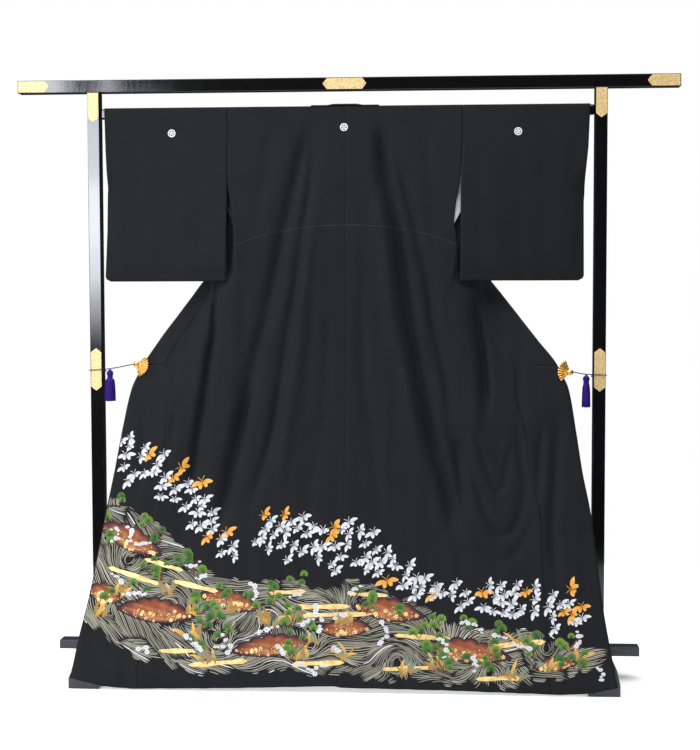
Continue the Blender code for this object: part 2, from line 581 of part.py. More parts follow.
def make_plate(name, length, width, centre, upright, points, finish):
    """A gilded plate on the front of a rail or post, pointed at the ends that points names (-1, 1)."""
    half, side = length / 2, width / 2
    near = PLATE_POINT if -1 in points else 0
    far = PLATE_POINT if 1 in points else 0
    outline = [(-half + near, -side), (half - far, -side)]
    outline += [(half, 0)] if far else []
    outline += [(half - far, side), (-half + near, side)]
    outline += [(-half, 0)] if near else []
    bm = bmesh.new()
    corners = [bm.verts.new((-b if upright else a, 0, a if upright else b)) for a, b in outline]
    face = bm.faces.new(corners)
    grown = bmesh.ops.extrude_face_region(bm, geom=[face])["geom"]
    moved = [item for item in grown if isinstance(item, bmesh.types.BMVert)]
    bmesh.ops.translate(bm, vec=(0, -PLATE_THICKNESS, 0), verts=moved)
    bmesh.ops.recalc_face_normals(bm, faces=bm.faces)
    made = add_object(name, mesh_of(bm, name), finish)
    made.location = centre
    return made


def make_plates(finish):
    rail_face = -RAIL_DEPTH / 2 - GAP
    post_face = -POST_DEPTH / 2 - GAP
    rail_z = STAND_TOP - RAIL_HEIGHT / 2
    for side_name, side in SIDES.items():
        end = side * (RAIL_LENGTH / 2 - RAIL_END_PLATE / 2 - 0.003)
        make_plate(
            f"plate_rail_{side_name}", RAIL_END_PLATE, RAIL_PLATE_HEIGHT, (end, rail_face, rail_z), False, (-side,), finish
        )
        x = side * POST_SPACING / 2
        top = STAND_TOP - RAIL_HEIGHT - 0.001 - POST_TOP_PLATE / 2
        make_plate(
            f"plate_post_top_{side_name}", POST_TOP_PLATE, POST_PLATE_WIDTH, (x, post_face, top), True, (-1,), finish
        )
        middle = (x, post_face, POST_MIDDLE_PLATE_Z)
        make_plate(
            f"plate_post_middle_{side_name}", POST_MIDDLE_PLATE, POST_PLATE_WIDTH, middle, True, (-1, 1), finish
        )
    make_plate(
        "plate_rail_middle", RAIL_MIDDLE_PLATE, RAIL_PLATE_HEIGHT, (0, rail_face, rail_z), False, (-1, 1), finish
    )


def make_stand(lacquer, dark_lacquer):
    make_board("top_rail", (RAIL_LENGTH, RAIL_DEPTH, RAIL_HEIGHT), (0, 0, STAND_TOP - RAIL_HEIGHT / 2), lacquer)
    post_bottom = LOW_RAIL_BOTTOM + LOW_RAIL_HEIGHT + GAP
    post_top = STAND_TOP - RAIL_HEIGHT - GAP
    for side_name, side in SIDES.items():
        x = side * POST_SPACING / 2
        make_board(
            f"post_{side_name}",
            (POST_WIDTH, POST_DEPTH, post_top - post_bottom),
            (x, 0, (post_top + post_bottom) / 2),
            lacquer,
        )
        make_foot(f"foot_{side_name}", side, dark_lacquer)
        block = LOW_RAIL_BOTTOM - FOOT_HEIGHT - 2 * GAP
        make_board(
            f"foot_block_{side_name}",
            (FOOT_WIDTH * 0.9, LOW_RAIL_DEPTH * 1.6, block),
            (x, 0, FOOT_HEIGHT + GAP + block / 2),
            dark_lacquer,
        )
    make_board(
        "low_rail",
        (LOW_RAIL_LENGTH, LOW_RAIL_DEPTH, LOW_RAIL_HEIGHT),
        (0, 0, LOW_RAIL_BOTTOM + LOW_RAIL_HEIGHT / 2),
        dark_lacquer,
    )
    make_board(
        "garment_rod",
        (POST_SPACING - POST_WIDTH - 2 * GAP, ROD_DEPTH, ROD_HEIGHT),
        (0, 0, ROD_TOP - ROD_HEIGHT / 2),
        lacquer,
        edge=0.005,
    )


# Clips, cords and tassels


def fan_y(side, z):
    return FAN_Y[side] + FAN_SLOPE * (z - CLIP_PIVOT[side][1])


def make_clip(name, side, finish):
    """A ribbed metal fan that opens from its hub towards the cloth."""
    pivot_x, pivot_z = CLIP_PIVOT[side]
    rings = 4

    def place(column_numbers, row_numbers):
        share = column_numbers / (2 * FAN_RIBS)
        angle = (share - 0.5) * FAN_ANGLE + FAN_LEAN[side]
        radius = 0.007 + (FAN_RADIUS - 0.007) * row_numbers / rings
        z = pivot_z + radius * np.sin(angle)
        wave = FAN_WAVE * np.where(column_numbers % 2 == 0, 1, -1) * row_numbers / rings
        return np.stack([side * (pivot_x - radius * np.cos(angle)), fan_y(side, z) + wave, z], axis=-1)

    bm = bmesh.new()
    add_sheet(bm, 2 * FAN_RIBS, rings, place)
    made = add_cloth(name, bm, FAN_SHEET, finish)
    drum = bmesh.new()
    turn = Matrix.Rotation(math.pi / 2, 4, "X")
    at = Matrix.Translation((side * pivot_x, FAN_Y[side], pivot_z))
    bmesh.ops.create_cone(
        drum,
        cap_ends=True,
        segments=20,
        radius1=HUB_RADIUS,
        radius2=HUB_RADIUS,
        depth=HUB_LENGTH,
        matrix=at @ turn,
    )
    hub = bpy.data.objects.new(f"{name}_hub", mesh_of(drum, f"{name}_hub"))
    bpy.data.collections["cutters"].objects.link(hub)
    hub.hide_render = True
    hub.display_type = "WIRE"
    joined = made.modifiers.new("Hub", "BOOLEAN")
    joined.operation = "UNION"
    joined.object = hub
    return made


def cord_route(side):
    """From the fan's hub to the post, once round it and back to the front corner."""
    pivot_x, pivot_z = CLIP_PIVOT[side]
    seat = CORD_DIAMETER / 2 + GAP
    clear = seat + CORD_CLEARANCE
    inner = POST_SPACING / 2 - POST_WIDTH / 2 - clear
    outer = POST_SPACING / 2 + POST_WIDTH / 2 + clear
    front = -POST_DEPTH / 2 - PLATE_THICKNESS - GAP - clear
    rear = POST_DEPTH / 2 + clear
    start = pivot_x + HUB_RADIUS + CORD_START
    level = pivot_z - CORD_DROP[side]
    fan = FAN_Y[side]
    route = (
        (start, fan, pivot_z),
        (start + 0.006, fan + 0.003, pivot_z - 0.001),
        ((start + inner) / 2, (fan + front) / 2, (pivot_z + level) / 2 - 0.001),
        (inner - 0.004, front - 0.003, level + 0.001),
        (inner + 0.004, front, level),
        (outer - 0.005, front, level - 0.001),
        (outer, front + 0.005, level - 0.0015),
        (outer, rear - 0.005, level - 0.003),
        (outer - 0.005, rear, level - 0.0035),
        (inner + 0.005, rear, level - 0.005),
        (inner, rear - 0.005, level - 0.0055),
        (inner, front + 0.010, level - 0.007),
    )
    return [(side * x, y, z) for x, y, z in route]


def even_points(route, count):
    """Evenly spaced points of the smooth curve through a route."""
    places = np.linspace(0, len(route) - 1, 40 * len(route))
    fine = np.stack([through([point[axis] for point in route], places) for axis in range(3)], axis=-1)
    lengths = np.concatenate([[0], np.cumsum(np.linalg.norm(np.diff(fine, axis=0), axis=1))])
    marks = np.linspace(0, lengths[-1], count)
    return np.stack([np.interp(marks, lengths, fine[:, axis]) for axis in range(3)], axis=-1)


def make_cord(name, side, finish):
    points = even_points(cord_route(side), CORD_POINTS)
    curve = bpy.data.curves.new(name, "CURVE")
    curve.dimensions = "3D"
    curve.bevel_depth = CORD_DIAMETER / 2
    curve.bevel_resolution = 2
    curve.use_fill_caps = True
    line = curve.splines.new("POLY")
    line.points.add(len(points) - 1)
    for target, point in zip(line.points, points):
        target.co = (*point, 1)
    return add_object(name, curve, finish)


def make_tassel(name, side, finish):
    """A turned head and skirt, hung from the cord beside the post."""
    route = even_points(cord_route(side), 200)
    x = side * TASSEL_X[side]
    carried = route[np.argmin(abs(route[:60, 0] - x))]
    top = carried[2] - CORD_DIAMETER / 2 - GAP
    neck = top - 0.020
    wide = TASSEL_RADIUS[side]
    profile = (
        (0.0, top), (0.0022, top - 0.001), (0.0030, top - 0.006), (TASSEL_HEAD, top - 0.010),
        (TASSEL_HEAD, neck + 0.004), (0.0055, neck), (0.0085, neck - 0.008), (wide * 0.85, neck - 0.035),
        (wide, top - TASSEL_LENGTH), (0.0, top - TASSEL_LENGTH),
    )
    bm = bmesh.new()
    corners = [bm.verts.new((radius, 0, height)) for radius, height in profile]
    for start, end in zip(corners[:-1], corners[1:]):
        bm.edges.new((start, end))
    made = add_object(name, mesh_of(bm, name), finish)
    made.location = (x, carried[1], 0)
    turned = made.modifiers.new("Turned", "SCREW")
    turned.steps = turned.render_steps = 16
    turned.use_merge_vertices = True
    turned.merge_threshold = 0.0001
    return made


def main():
    for old in list(bpy.data.objects):
        bpy.data.objects.remove(old)
    for collection_name in (COLLECTION_NAME, "cutters"):
        bpy.context.scene.collection.children.link(bpy.data.collections.new(collection_name))
    bpy.data.collections["cutters"].hide_render = True

    black_silk = material("black silk crepe", (0.021, 0.022, 0.026), 0.82)
    white_silk = material("white silk lining", (0.62, 0.65, 0.72), 0.6)
    lacquer = material("black lacquer", (0.006, 0.006, 0.007), 0.12)
    dark_lacquer = material("dark blue-grey lacquer", (0.012, 0.013, 0.018), 0.3)
    gilt = material("pale gilt", (0.80, 0.60, 0.27), 0.35, 1.0)
    gold = material("gold", (0.75, 0.45, 0.12), 0.25, 1.0)
    purple = material("purple silk", (0.035, 0.008, 0.16), 0.6)

    make_stand(lacquer, dark_lacquer)
    make_plates(gilt)
    for side_name, side in SIDES.items():
        make_body(f"body_{side_name}", side, black_silk)
        make_overlap(f"okumi_{side_name}", side, black_silk)
        make_sleeve(f"sleeve_{side_name}", side, black_silk)
        make_collar_front(f"collar_{side_name}", side, black_silk)
        make_clip(f"clip_{side_name}", side, gold)
        make_cord(f"cord_{side_name}", side, purple)
        make_tassel(f"tassel_{side_name}", side, purple)
    make_collar_neck("collar_neck", black_silk)
    make_lining("lining_right", RIGHT, white_silk)


main()
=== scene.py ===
"""Looks of a formal black kimono, spread back to the viewer, on a lacquered kimono stand.

Metres, +Z up. The stand's centre on the floor is the origin, +X runs to the viewer's right and the garment's
back faces -Y. The cloth follows the same levels and reaches as its solid, in finer rows, with all its folds.
"""

import math
from collections import namedtuple

import bmesh
import bpy
import numpy as np
from bpy.props import FloatProperty, FloatVectorProperty, IntProperty, PointerProperty
from mathutils import Matrix, Vector
from mathutils.bvhtree import BVHTree


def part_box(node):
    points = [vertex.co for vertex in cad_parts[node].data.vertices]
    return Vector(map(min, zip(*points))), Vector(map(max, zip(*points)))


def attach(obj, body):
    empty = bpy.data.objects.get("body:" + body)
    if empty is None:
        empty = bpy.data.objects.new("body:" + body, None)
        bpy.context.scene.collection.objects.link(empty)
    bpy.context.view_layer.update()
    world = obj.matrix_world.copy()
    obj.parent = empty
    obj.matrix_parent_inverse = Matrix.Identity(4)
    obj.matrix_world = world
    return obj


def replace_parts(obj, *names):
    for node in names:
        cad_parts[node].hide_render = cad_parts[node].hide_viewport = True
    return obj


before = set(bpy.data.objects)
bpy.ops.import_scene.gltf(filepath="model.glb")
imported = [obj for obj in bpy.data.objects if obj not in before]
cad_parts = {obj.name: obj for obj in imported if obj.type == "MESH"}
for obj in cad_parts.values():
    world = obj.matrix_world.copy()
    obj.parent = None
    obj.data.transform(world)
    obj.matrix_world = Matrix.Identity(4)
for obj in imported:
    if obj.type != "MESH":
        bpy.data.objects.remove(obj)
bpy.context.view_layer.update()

bl_info = {
    "name": "Kimono on a stand",
    "version": (1, 0, 0),
    "blender": (4, 5, 0),
    "location": "3D View > Sidebar > Kimono",
    "description": "Builds the cloth, dyed hem, clips, cords, fittings and studio round a kimono stand",
    "category": "Object",
}

COLLECTION_NAME = "kimono_looks"
LEFT, RIGHT = -1, 1
SIDES = {"left": LEFT, "right": RIGHT}

# Stand: post spacing, width and depth, and how far the plates stand proud and come to a point
POST_SPACING, POST_WIDTH, POST_DEPTH = 1.3853, 0.033, 0.041
PLATE_THICKNESS, PLATE_POINT = 0.0012, 0.012
# From a plate's rim inwards: width and height of the rim, the groove, the step and the field
PLATE_STEPS = ((0.0008, 0.0), (0.0006, -0.0005), (0.0012, 0.0), (0.0005, 0.0004))

# Cloth: the thickness of each kind, the gap between pieces laid over each other, half the gap of a seam, and
# how close two corners are joined to one
WALL, COLLAR_WALL, LINING_WALL = 0.0016, 0.0024, 0.0010
GAP, SEAM_HALF, JOIN = 0.0003, 0.00002, 0.00002
# Flat widths: half the body, its front below the neck, its shoulder, and half of what the neck leaves open
BODY_WIDTH, FRONT_WIDTH, SHOULDER_WIDTH, NECK_HALF = 0.32, 0.226, 0.321, 0.095
# Flat widths of the overlap panel above the collar's end, and of what it gains below it
OVERLAP_WIDTH, OVERLAP_GAIN = 0.135, 0.045
COLLAR_WIDTH, COLLAR_COLUMNS, NECK_LENGTH = 0.055, 10, 0.075
# A sleeve's flat width, and the width of the black facing inside its upright edges, which is partly painted
# shade of the opening
SLEEVE_WIDTH, SLEEVE_FACING_AND_SHADE = 0.34, 0.030
# The black edge inside the body: its width, and the height below the armhole at which it ends
SIDE_FACING, SIDE_FACING_FOOT = 0.022, 1.150
HEM_HEIGHT = 0.004

# Each row is a level of the cloth, from the shoulder line over the rod down to the hem, and holds Y values.
# back: the back panel. left, right: each front panel at its armhole or side edge. From there a front's
# course runs through the strip that faces the viewer, the pleat's fold and the turn to the free edge.
# collar, overlap: where the collar's seam and the overlap panel's seam lie along that course, from 0 to 1.
Level = namedtuple("Level", "z back left right strip pleat turn free collar overlap")
LEVELS = [Level(*row) for row in (
    (1.5676, 0.0000, 0.0000, 0.0000, 0.0000, 0.0000, 0.0000, 0.0000, 1.000, 1.000),
    (1.5660, -0.0065, 0.0065, 0.0065, 0.0065, 0.0065, 0.0065, 0.0065, 0.990, 0.990),
    (1.5615, -0.0100, 0.0100, 0.0100, 0.0100, 0.0100, 0.0100, 0.0100, 0.960, 0.960),
    (1.5530, -0.0112, 0.0112, 0.0112, 0.0114, 0.0116, 0.0116, 0.0114, 0.890, 0.890),
    (1.5250, -0.0140, 0.0120, 0.0120, 0.0150, 0.0190, 0.0190, 0.0165, 0.810, 0.810),
    (1.4800, -0.0200, 0.0130, 0.0130, 0.0290, 0.0400, 0.0380, 0.0210, 0.780, 0.780),
    (1.4300, -0.0265, 0.0140, 0.0140, 0.0400, 0.0560, 0.0520, 0.0280, 0.760, 0.760),
    (1.3850, -0.0325, 0.0145, 0.0145, 0.0470, 0.0680, 0.0640, 0.0360, 0.750, 0.750),
    (1.3400, -0.0370, 0.0140, 0.0145, 0.0480, 0.0750, 0.0720, 0.0440, 0.720, 0.720),
    (1.2950, -0.0420, -0.0130, 0.0140, 0.0250, 0.0680, 0.0780, 0.0520, 0.720, 0.720),
    (1.2500, -0.0470, -0.0470, 0.0080, 0.0100, 0.0580, 0.0740, 0.0600, 0.680, 0.680),
    (1.2050, -0.0510, -0.0510, -0.0200, -0.0050, 0.0420, 0.0600, 0.0680, 0.640, 0.640),
    (1.1600, -0.0555, -0.0555, -0.0555, -0.0180, 0.0200, 0.0430, 0.0570, 0.680, 0.680),
    (1.1200, -0.0590, -0.0590, -0.0590, -0.0300, 0.0060, 0.0290, 0.0430, 0.720, 0.720),
    (1.0900, -0.0620, -0.0620, -0.0620, -0.0480, -0.0150, 0.0120, 0.0260, 0.730, 0.730),
    (1.0500, -0.0655, -0.0655, -0.0655, -0.0625, -0.0400, -0.0060, 0.0060, 0.750, 0.735),
    (1.0000, -0.0705, -0.0705, -0.0705, -0.0710, -0.0520, -0.0220, -0.0160, 0.790, 0.745),
    (0.9300, -0.0785, -0.0785, -0.0785, -0.0810, -0.0660, -0.0420, -0.0400, 0.845, 0.750),
    (0.8610, -0.0875, -0.0875, -0.0875, -0.0915, -0.0790, -0.0620, -0.0575, 0.855, 0.750),
    (0.8550, -0.0884, -0.0884, -0.0884, -0.0925, -0.0805, -0.0635, -0.0586, 0.856, 0.752),
    (0.8000, -0.0965, -0.0965, -0.0965, -0.1010, -0.0920, -0.0800, -0.0690, 0.860, 0.770),
    (0.6930, -0.1120, -0.1120, -0.1120, -0.1170, -0.1080, -0.1050, -0.0930, 0.860, 0.740),
    (0.5800, -0.1295, -0.1295, -0.1295, -0.1335, -0.1240, -0.1260, -0.1170, 0.860, 0.710),
    (0.4760, -0.1455, -0.1455, -0.1455, -0.1480, -0.1420, -0.1445, -0.1390, 0.860, 0.710),
    (0.3500, -0.1650, -0.1650, -0.1650, -0.1665, -0.1620, -0.1645, -0.1610, 0.860, 0.690),
    (0.2335, -0.1835, -0.1835, -0.1835, -0.1850, -0.1815, -0.1840, -0.1815, 0.860, 0.680),
    (0.1200, -0.2010, -0.2010, -0.2010, -0.2020, -0.1995, -0.2015, -0.2000, 0.860, 0.660),
    (0.0040, -0.2165, -0.2165, -0.2165, -0.2170, -0.2160, -0.2170, -0.2165, 0.860, 0.630),
)]
# The levels at which the collar's front starts under the neck's band, the rod ends, the armhole is closed,
# the overlap panel starts and the collar ends, and by how much the collar stops short of that
COLLAR_START, ROD_LEVEL, ARMHOLE_LEVEL, OVERLAP_TOP, COLLAR_END = 2, 3, 8, 15, 18
COLLAR_STEP = 0.00003

# Outward X at each level: the back panel's side edge, and the front's course from its armhole or side edge
# through the strip, the pleat's fold and the turn to the free edge
Reach = namedtuple("Reach", "back front strip pleat turn free")
SHOULDER_REACHES = (
    (0.3210, 0.3210, 0.2645, 0.2080, 0.1515, 0.0950),
    (0.3210, 0.3210, 0.2645, 0.2080, 0.1510, 0.0930),
    (0.3210, 0.3210, 0.2640, 0.2070, 0.1460, 0.0860),
    (0.3210, 0.3210, 0.2630, 0.2050, 0.1370, 0.0750),
)
LOWER_REACHES = {
    LEFT: (
        (0.3210, 0.3210, 0.2620, 0.2000, 0.1300, 0.0580),
        (0.3207, 0.3207, 0.2660, 0.2110, 0.1560, 0.0920),
        (0.3203, 0.3203, 0.2780, 0.2280, 0.1830, 0.1290),
        (0.3200, 0.3200, 0.3020, 0.2700, 0.2180, 0.1630),
        (0.3175, 0.3185, 0.3175, 0.3215, 0.2520, 0.1970),
        (0.3090, 0.3120, 0.3200, 0.3385, 0.2890, 0.2310),
        (0.3040, 0.3040, 0.3140, 0.3540, 0.3050, 0.2650),
        (0.2980, 0.2980, 0.3130, 0.3640, 0.3360, 0.3000),
        (0.2980, 0.2980, 0.3140, 0.3660, 0.3560, 0.3340),
        (0.2975, 0.2975, 0.3150, 0.3640, 0.3670, 0.3710),
        (0.2960, 0.2960, 0.3230, 0.3600, 0.3720, 0.3983),
        (0.2890, 0.2890, 0.3280, 0.3600, 0.3830, 0.4257),
        (0.2790, 0.2790, 0.3290, 0.3640, 0.4010, 0.4606),
        (0.2650, 0.2650, 0.3290, 0.3700, 0.4290, 0.5104),
        (0.2530, 0.2530, 0.3300, 0.3800, 0.4530, 0.5537),
        (0.2525, 0.2525, 0.3300, 0.3805, 0.4550, 0.5566),
        (0.2500, 0.2500, 0.3300, 0.3850, 0.4680, 0.5822),
        (0.2570, 0.2570, 0.3350, 0.3950, 0.4870, 0.6040),
        (0.2570, 0.2570, 0.3400, 0.4100, 0.5090, 0.6220),
        (0.2570, 0.2570, 0.3420, 0.4250, 0.5270, 0.6405),
        (0.2620, 0.2620, 0.3500, 0.4400, 0.5460, 0.6630),
        (0.2670, 0.2670, 0.3600, 0.4550, 0.5630, 0.6845),
        (0.2720, 0.2720, 0.3700, 0.4700, 0.5820, 0.7090),
        (0.2800, 0.2800, 0.3850, 0.4900, 0.6000, 0.7277),
    ),
    RIGHT: (
        (0.3207, 0.3207, 0.2620, 0.2000, 0.1300, 0.0580),
        (0.3200, 0.3200, 0.2660, 0.2120, 0.1580, 0.0950),
        (0.3190, 0.3190, 0.2780, 0.2290, 0.1860, 0.1340),
        (0.3147, 0.3150, 0.2930, 0.2530, 0.2150, 0.1690),
        (0.3105, 0.3145, 0.3080, 0.2860, 0.2460, 0.2040),
        (0.3020, 0.3140, 0.3150, 0.3300, 0.2880, 0.2400),
        (0.2980, 0.3110, 0.3125, 0.3500, 0.3110, 0.2750),
        (0.3040, 0.3085, 0.3130, 0.3640, 0.3420, 0.3100),
        (0.3040, 0.3040, 0.3130, 0.3650, 0.3615, 0.3450),
        (0.2980, 0.2980, 0.3130, 0.3640, 0.3650, 0.3760),
        (0.2900, 0.2900, 0.3180, 0.3600, 0.3740, 0.3990),
        (0.2740, 0.2740, 0.3200, 0.3580, 0.3840, 0.4308),
        (0.2590, 0.2590, 0.3180, 0.3600, 0.4000, 0.4695),
        (0.2560, 0.2560, 0.3220, 0.3680, 0.4300, 0.5237),
        (0.2660, 0.2660, 0.3320, 0.3800, 0.4620, 0.5772),
        (0.2670, 0.2670, 0.3330, 0.3805, 0.4630, 0.5800),
        (0.2770, 0.2770, 0.3400, 0.3820, 0.4550, 0.6052),
        (0.2840, 0.2840, 0.3500, 0.4050, 0.4930, 0.6233),
        (0.2860, 0.2860, 0.3620, 0.4250, 0.5200, 0.6400),
        (0.2880, 0.2880, 0.3700, 0.4450, 0.5450, 0.6600),
        (0.2910, 0.2910, 0.3800, 0.4620, 0.5580, 0.6760),
        (0.2950, 0.2950, 0.3880, 0.4750, 0.5700, 0.6900),
        (0.2990, 0.2990, 0.3980, 0.4900, 0.5840, 0.7080),
        (0.3040, 0.3040, 0.4080, 0.5080, 0.6000, 0.7270),
    ),
}
REACHES = {side: [Reach(*row) for row in SHOULDER_REACHES + rows] for side, rows in LOWER_REACHES.items()}
# First level at which back and front are sewn together at the side
SIDE_SEAM_TOP = {LEFT: 10, RIGHT: 12}

# X of the back seam by height
BACK_SEAM = ((1.57, 0.000), (1.04, 0.006), (0.50, 0.005), (0.00, -0.008))
# The back seam's groove: depth, half width, over what length it starts, and where its columns of faces lie,
# as shares of the panel's width
SEAM_DIP, SEAM_DIP_HALF, SEAM_DIP_START, SEAM_COLUMNS = 0.0008, 0.0022, 0.05, (0.009, 0.0045, 0)
# How far the hem is lifted off its lowest line across the garment
HEM_LIFT = (
    (-0.728, 0.0265), (-0.640, 0.0060), (-0.561, 0.0000), (-0.280, 0.0060), (-0.020, 0.0150),
    (0.000, 0.0110), (0.290, 0.0080), (0.582, 0.0010), (0.660, 0.0060), (0.728, 0.0220),
)
HEM_LIFT_REACH = 0.25

# The folds of the back and the lower fronts: a path of (x, z) from top to bottom, how wide the fold is to
# each side, and how deep it goes away from the viewer. A negative depth is a ridge.
Fold = namedtuple("Fold", "name path width depth")
FOLDS = (
    Fold("left_outer", (
        (-0.099, 1.542), (-0.121, 1.414), (-0.148, 1.298), (-0.169, 1.197), (-0.193, 1.088), (-0.214, 0.98),
        (-0.235, 0.91), (-0.261, 0.783), (-0.297, 0.603), (-0.322, 0.428),
    ), 0.019, 0.010),
    Fold("left_inner", (
        (-0.086, 1.523), (-0.088, 1.414), (-0.101, 1.297), (-0.112, 1.216), (-0.127, 1.088),
        (-0.151, 0.964), (-0.166, 0.829), (-0.189, 0.695), (-0.223, 0.561), (-0.249, 0.471),
    ), 0.015, 0.008),
    Fold("left_crown", (
        (-0.085, 1.324), (-0.101, 1.142), (-0.126, 0.872), (-0.151, 0.695), (-0.169, 0.516),
    ), 0.020, -0.006),
    Fold("right_deep", (
        (0.097, 1.54), (0.105, 1.413), (0.124, 1.296), (0.144, 1.196), (0.16, 1.088), (0.179, 0.964),
        (0.199, 0.856), (0.215, 0.766), (0.242, 0.651), (0.28, 0.519), (0.306, 0.388),
    ), 0.018, 0.018),
    Fold("right_outer", (
        (0.132, 1.458), (0.17, 1.323), (0.198, 1.214), (0.225, 1.087), (0.241, 0.98), (0.26, 0.91),
        (0.282, 0.784), (0.295, 0.697),
    ), 0.014, 0.008),
    Fold("right_crown", (
        (0.089, 1.369), (0.117, 1.142), (0.139, 0.964), (0.18, 0.784), (0.207, 0.606),
    ), 0.022, -0.008),
    Fold("right_lower", ((0.287, 0.731), (0.309, 0.607), (0.333, 0.433)), 0.016, 0.011),
    Fold("right_swag", (
        (0.314, 0.652), (0.36, 0.538), (0.394, 0.441), (0.428, 0.415), (0.465, 0.442), (0.487, 0.539),
        (0.474, 0.652), (0.461, 0.732),
    ), 0.013, 0.006),
    Fold("right_swag_low", (
        (0.345, 0.44), (0.385, 0.37), (0.43, 0.35), (0.478, 0.39), (0.507, 0.48),
    ), 0.016, 0.004),
    Fold("right_swag_high", (
        (0.345, 0.72), (0.375, 0.62), (0.405, 0.54), (0.432, 0.545), (0.447, 0.64),
    ), 0.010, 0.004),
    Fold("right_side_a", ((0.546, 0.759), (0.527, 0.626), (0.519, 0.466)), 0.012, 0.005),
    Fold("right_side_b", ((0.586, 0.785), (0.572, 0.608), (0.56, 0.435), (0.575, 0.26)), 0.014, 0.006),
    Fold("right_trough", (
        (0.354, 1.084), (0.359, 0.985), (0.373, 0.878), (0.383, 0.771), (0.386, 0.705),
    ), 0.014, 0.020),
    Fold("left_trough", (
        (-0.355, 1.135), (-0.356, 0.945), (-0.364, 0.904), (-0.376, 0.810), (-0.394, 0.689),
        (-0.408, 0.581), (-0.418, 0.475),
    ), 0.013, 0.016),
    Fold("left_side_a", ((-0.445, 0.802), (-0.465, 0.694), (-0.482, 0.53)), 0.011, 0.004),
    Fold("left_side_b", ((-0.549, 0.81), (-0.544, 0.648), (-0.556, 0.47)), 0.013, 0.005),
    Fold("left_hip", (
        (-0.259, 0.829), (-0.262, 0.764), (-0.274, 0.72), (-0.31, 0.56), (-0.335, 0.38),
    ), 0.017, 0.010),
    Fold("left_shoulder", ((-0.205, 1.55), (-0.212, 1.42), (-0.231, 1.25)), 0.018, 0.003),
    Fold("right_shoulder", ((0.213, 1.55), (0.226, 1.42), (0.243, 1.30)), 0.018, 0.003),
    Fold("seat_left", ((-0.045, 1.02), (-0.052, 0.80), (-0.083, 0.52), (-0.108, 0.26)), 0.018, 0.003),
    Fold("seat_right", ((0.043, 1.10), (0.055, 0.86), (0.092, 0.56), (0.131, 0.30)), 0.017, 0.003),
)
# Over what height a fold fades in and out at its ends
FOLD_TAPER = 0.12

# Sleeves: outward X of the inner and the outer edge by height, and Y of both layers at both edges
SLEEVE_BOTTOM = 1.0915
SLEEVE_INNER = {
    LEFT: ((1.57, 0.3216), (1.40, 0.3208), (1.34, 0.3206), (1.09, 0.3230)),
    RIGHT: ((1.57, 0.3216), (1.50, 0.3213), (1.43, 0.3198), (1.385, 0.3162), (1.34, 0.3157), (1.09, 0.3145)),
}
SLEEVE_OUTER = {
    LEFT: ((1.57, 0.6640), (1.45, 0.6610), (1.35, 0.6565), (1.23, 0.6575), (1.09, 0.6625)),
    RIGHT: ((1.57, 0.6640), (1.45, 0.6590), (1.38, 0.6520), (1.30, 0.6470), (1.09, 0.6475)),
}
SLEEVE_BACK_OUTER = ((1.09, -0.0270), (1.34, -0.0150), (1.553, -0.0112))
SLEEVE_FAR_INNER = ((1.09, -0.0490), (1.25, -0.0170), (1.34, 0.0130))
SLEEVE_FAR_OUTER = ((1.09, -0.0130), (1.34, 0.0080), (1.553, 0.0112))
# Radius of the lower outer corner, and how thick the closed edges are
SLEEVE_CORNER, SLEEVE_FOLD = 0.015, 0.005
# Where the cuff's seam starts below the open cuff, over what height and width it closes, and over what
# height the bottom closes
CUFF_SEAM_TOP, CUFF_SEAM_FADE, CUFF_SEAM_REACH, BOTTOM_FADE = 1.40, 0.06, 0.035, 0.04

# Collar where it lies over the rod at the neck
NECK_BAND_HALF, NECK_BAND_REAR, NECK_BAND_HANG = 0.0925, 1.5260, 0.0175
# The middle of the band stands up by this much, over this half width, above this height, and fades out
NECK_CROWN, NECK_CROWN_HALF, NECK_CROWN_FOOT, NECK_CROWN_FADE = 0.0030, 0.050, 1.555, 0.02
# How far up its course the band's lower edge lies at the back
NECK_START = 1.6

# Lining seen through the right armhole slit: its top level, how far it reaches past both edges of the slit
# and lies behind them, and the outward X and the height of two points of its slanting foot
LINING_TOP, LINING_LAP, LINING_BACK = 6, 0.006, 0.0040
LINING_FOOT = ((0.2965, 1.2425), (0.3135, 1.2735))
LINING_WIDTH, LINING_LENGTH, LINING_COLUMNS, LINING_ROWS = 0.030, 0.135, 12, 40
# How far its outer edge lies deeper than its inner one, and the depth of its soft wave
LINING_SLANT, LINING_WAVE = 0.010, 0.0012
# The turned-in edge of the armhole, behind the seam: its top, how far it laps on both sides, how far back it
# lies where the seam is closed and open, and over what height it changes from the one to the other
EDGE_TOP, EDGE_LAP, EDGE_BACK, EDGE_DEEP = 1.540, 0.004, 0.0021, 0.0200
EDGE_COLUMNS, EDGE_FADE = 3, 0.05

# Upright folds of a sleeve: outward X at the rod, lean outwards for each metre down, width and depth
SLEEVE_FOLDS = (
    (0.372, 0.03, 0.016, 0.0016), (0.425, 0.02, 0.020, -0.0014), (0.492, 0.00, 0.022, 0.0018),
    (0.560, -0.03, 0.018, 0.0013), (0.612, -0.03, 0.014, -0.0012),
)
# How far they lie outwards of that on each side, where they fade out below the rod, and over what height
SLEEVE_FOLD_SHIFT = {LEFT: 0.012, RIGHT: -0.017}
SLEEVE_FOLD_TOP, SLEEVE_FOLD_FADE = 1.53, 0.14

# Clips, cords and tassels. Pivot: X outward and Z of the fan's hub.
CLIP_PIVOT = {LEFT: (0.5715, 0.8640), RIGHT: (0.6100, 0.8440)}
FAN_RADIUS, FAN_ANGLE, FAN_RIBS, FAN_SHEET = 0.034, math.radians(116), 9, 0.0012
# How far each fan leans up from level, towards the cloth
FAN_LEAN = {LEFT: math.radians(-20), RIGHT: math.radians(12)}
FAN_Y, FAN_SLOPE = {LEFT: -0.0612, RIGHT: -0.0645}, 0.17
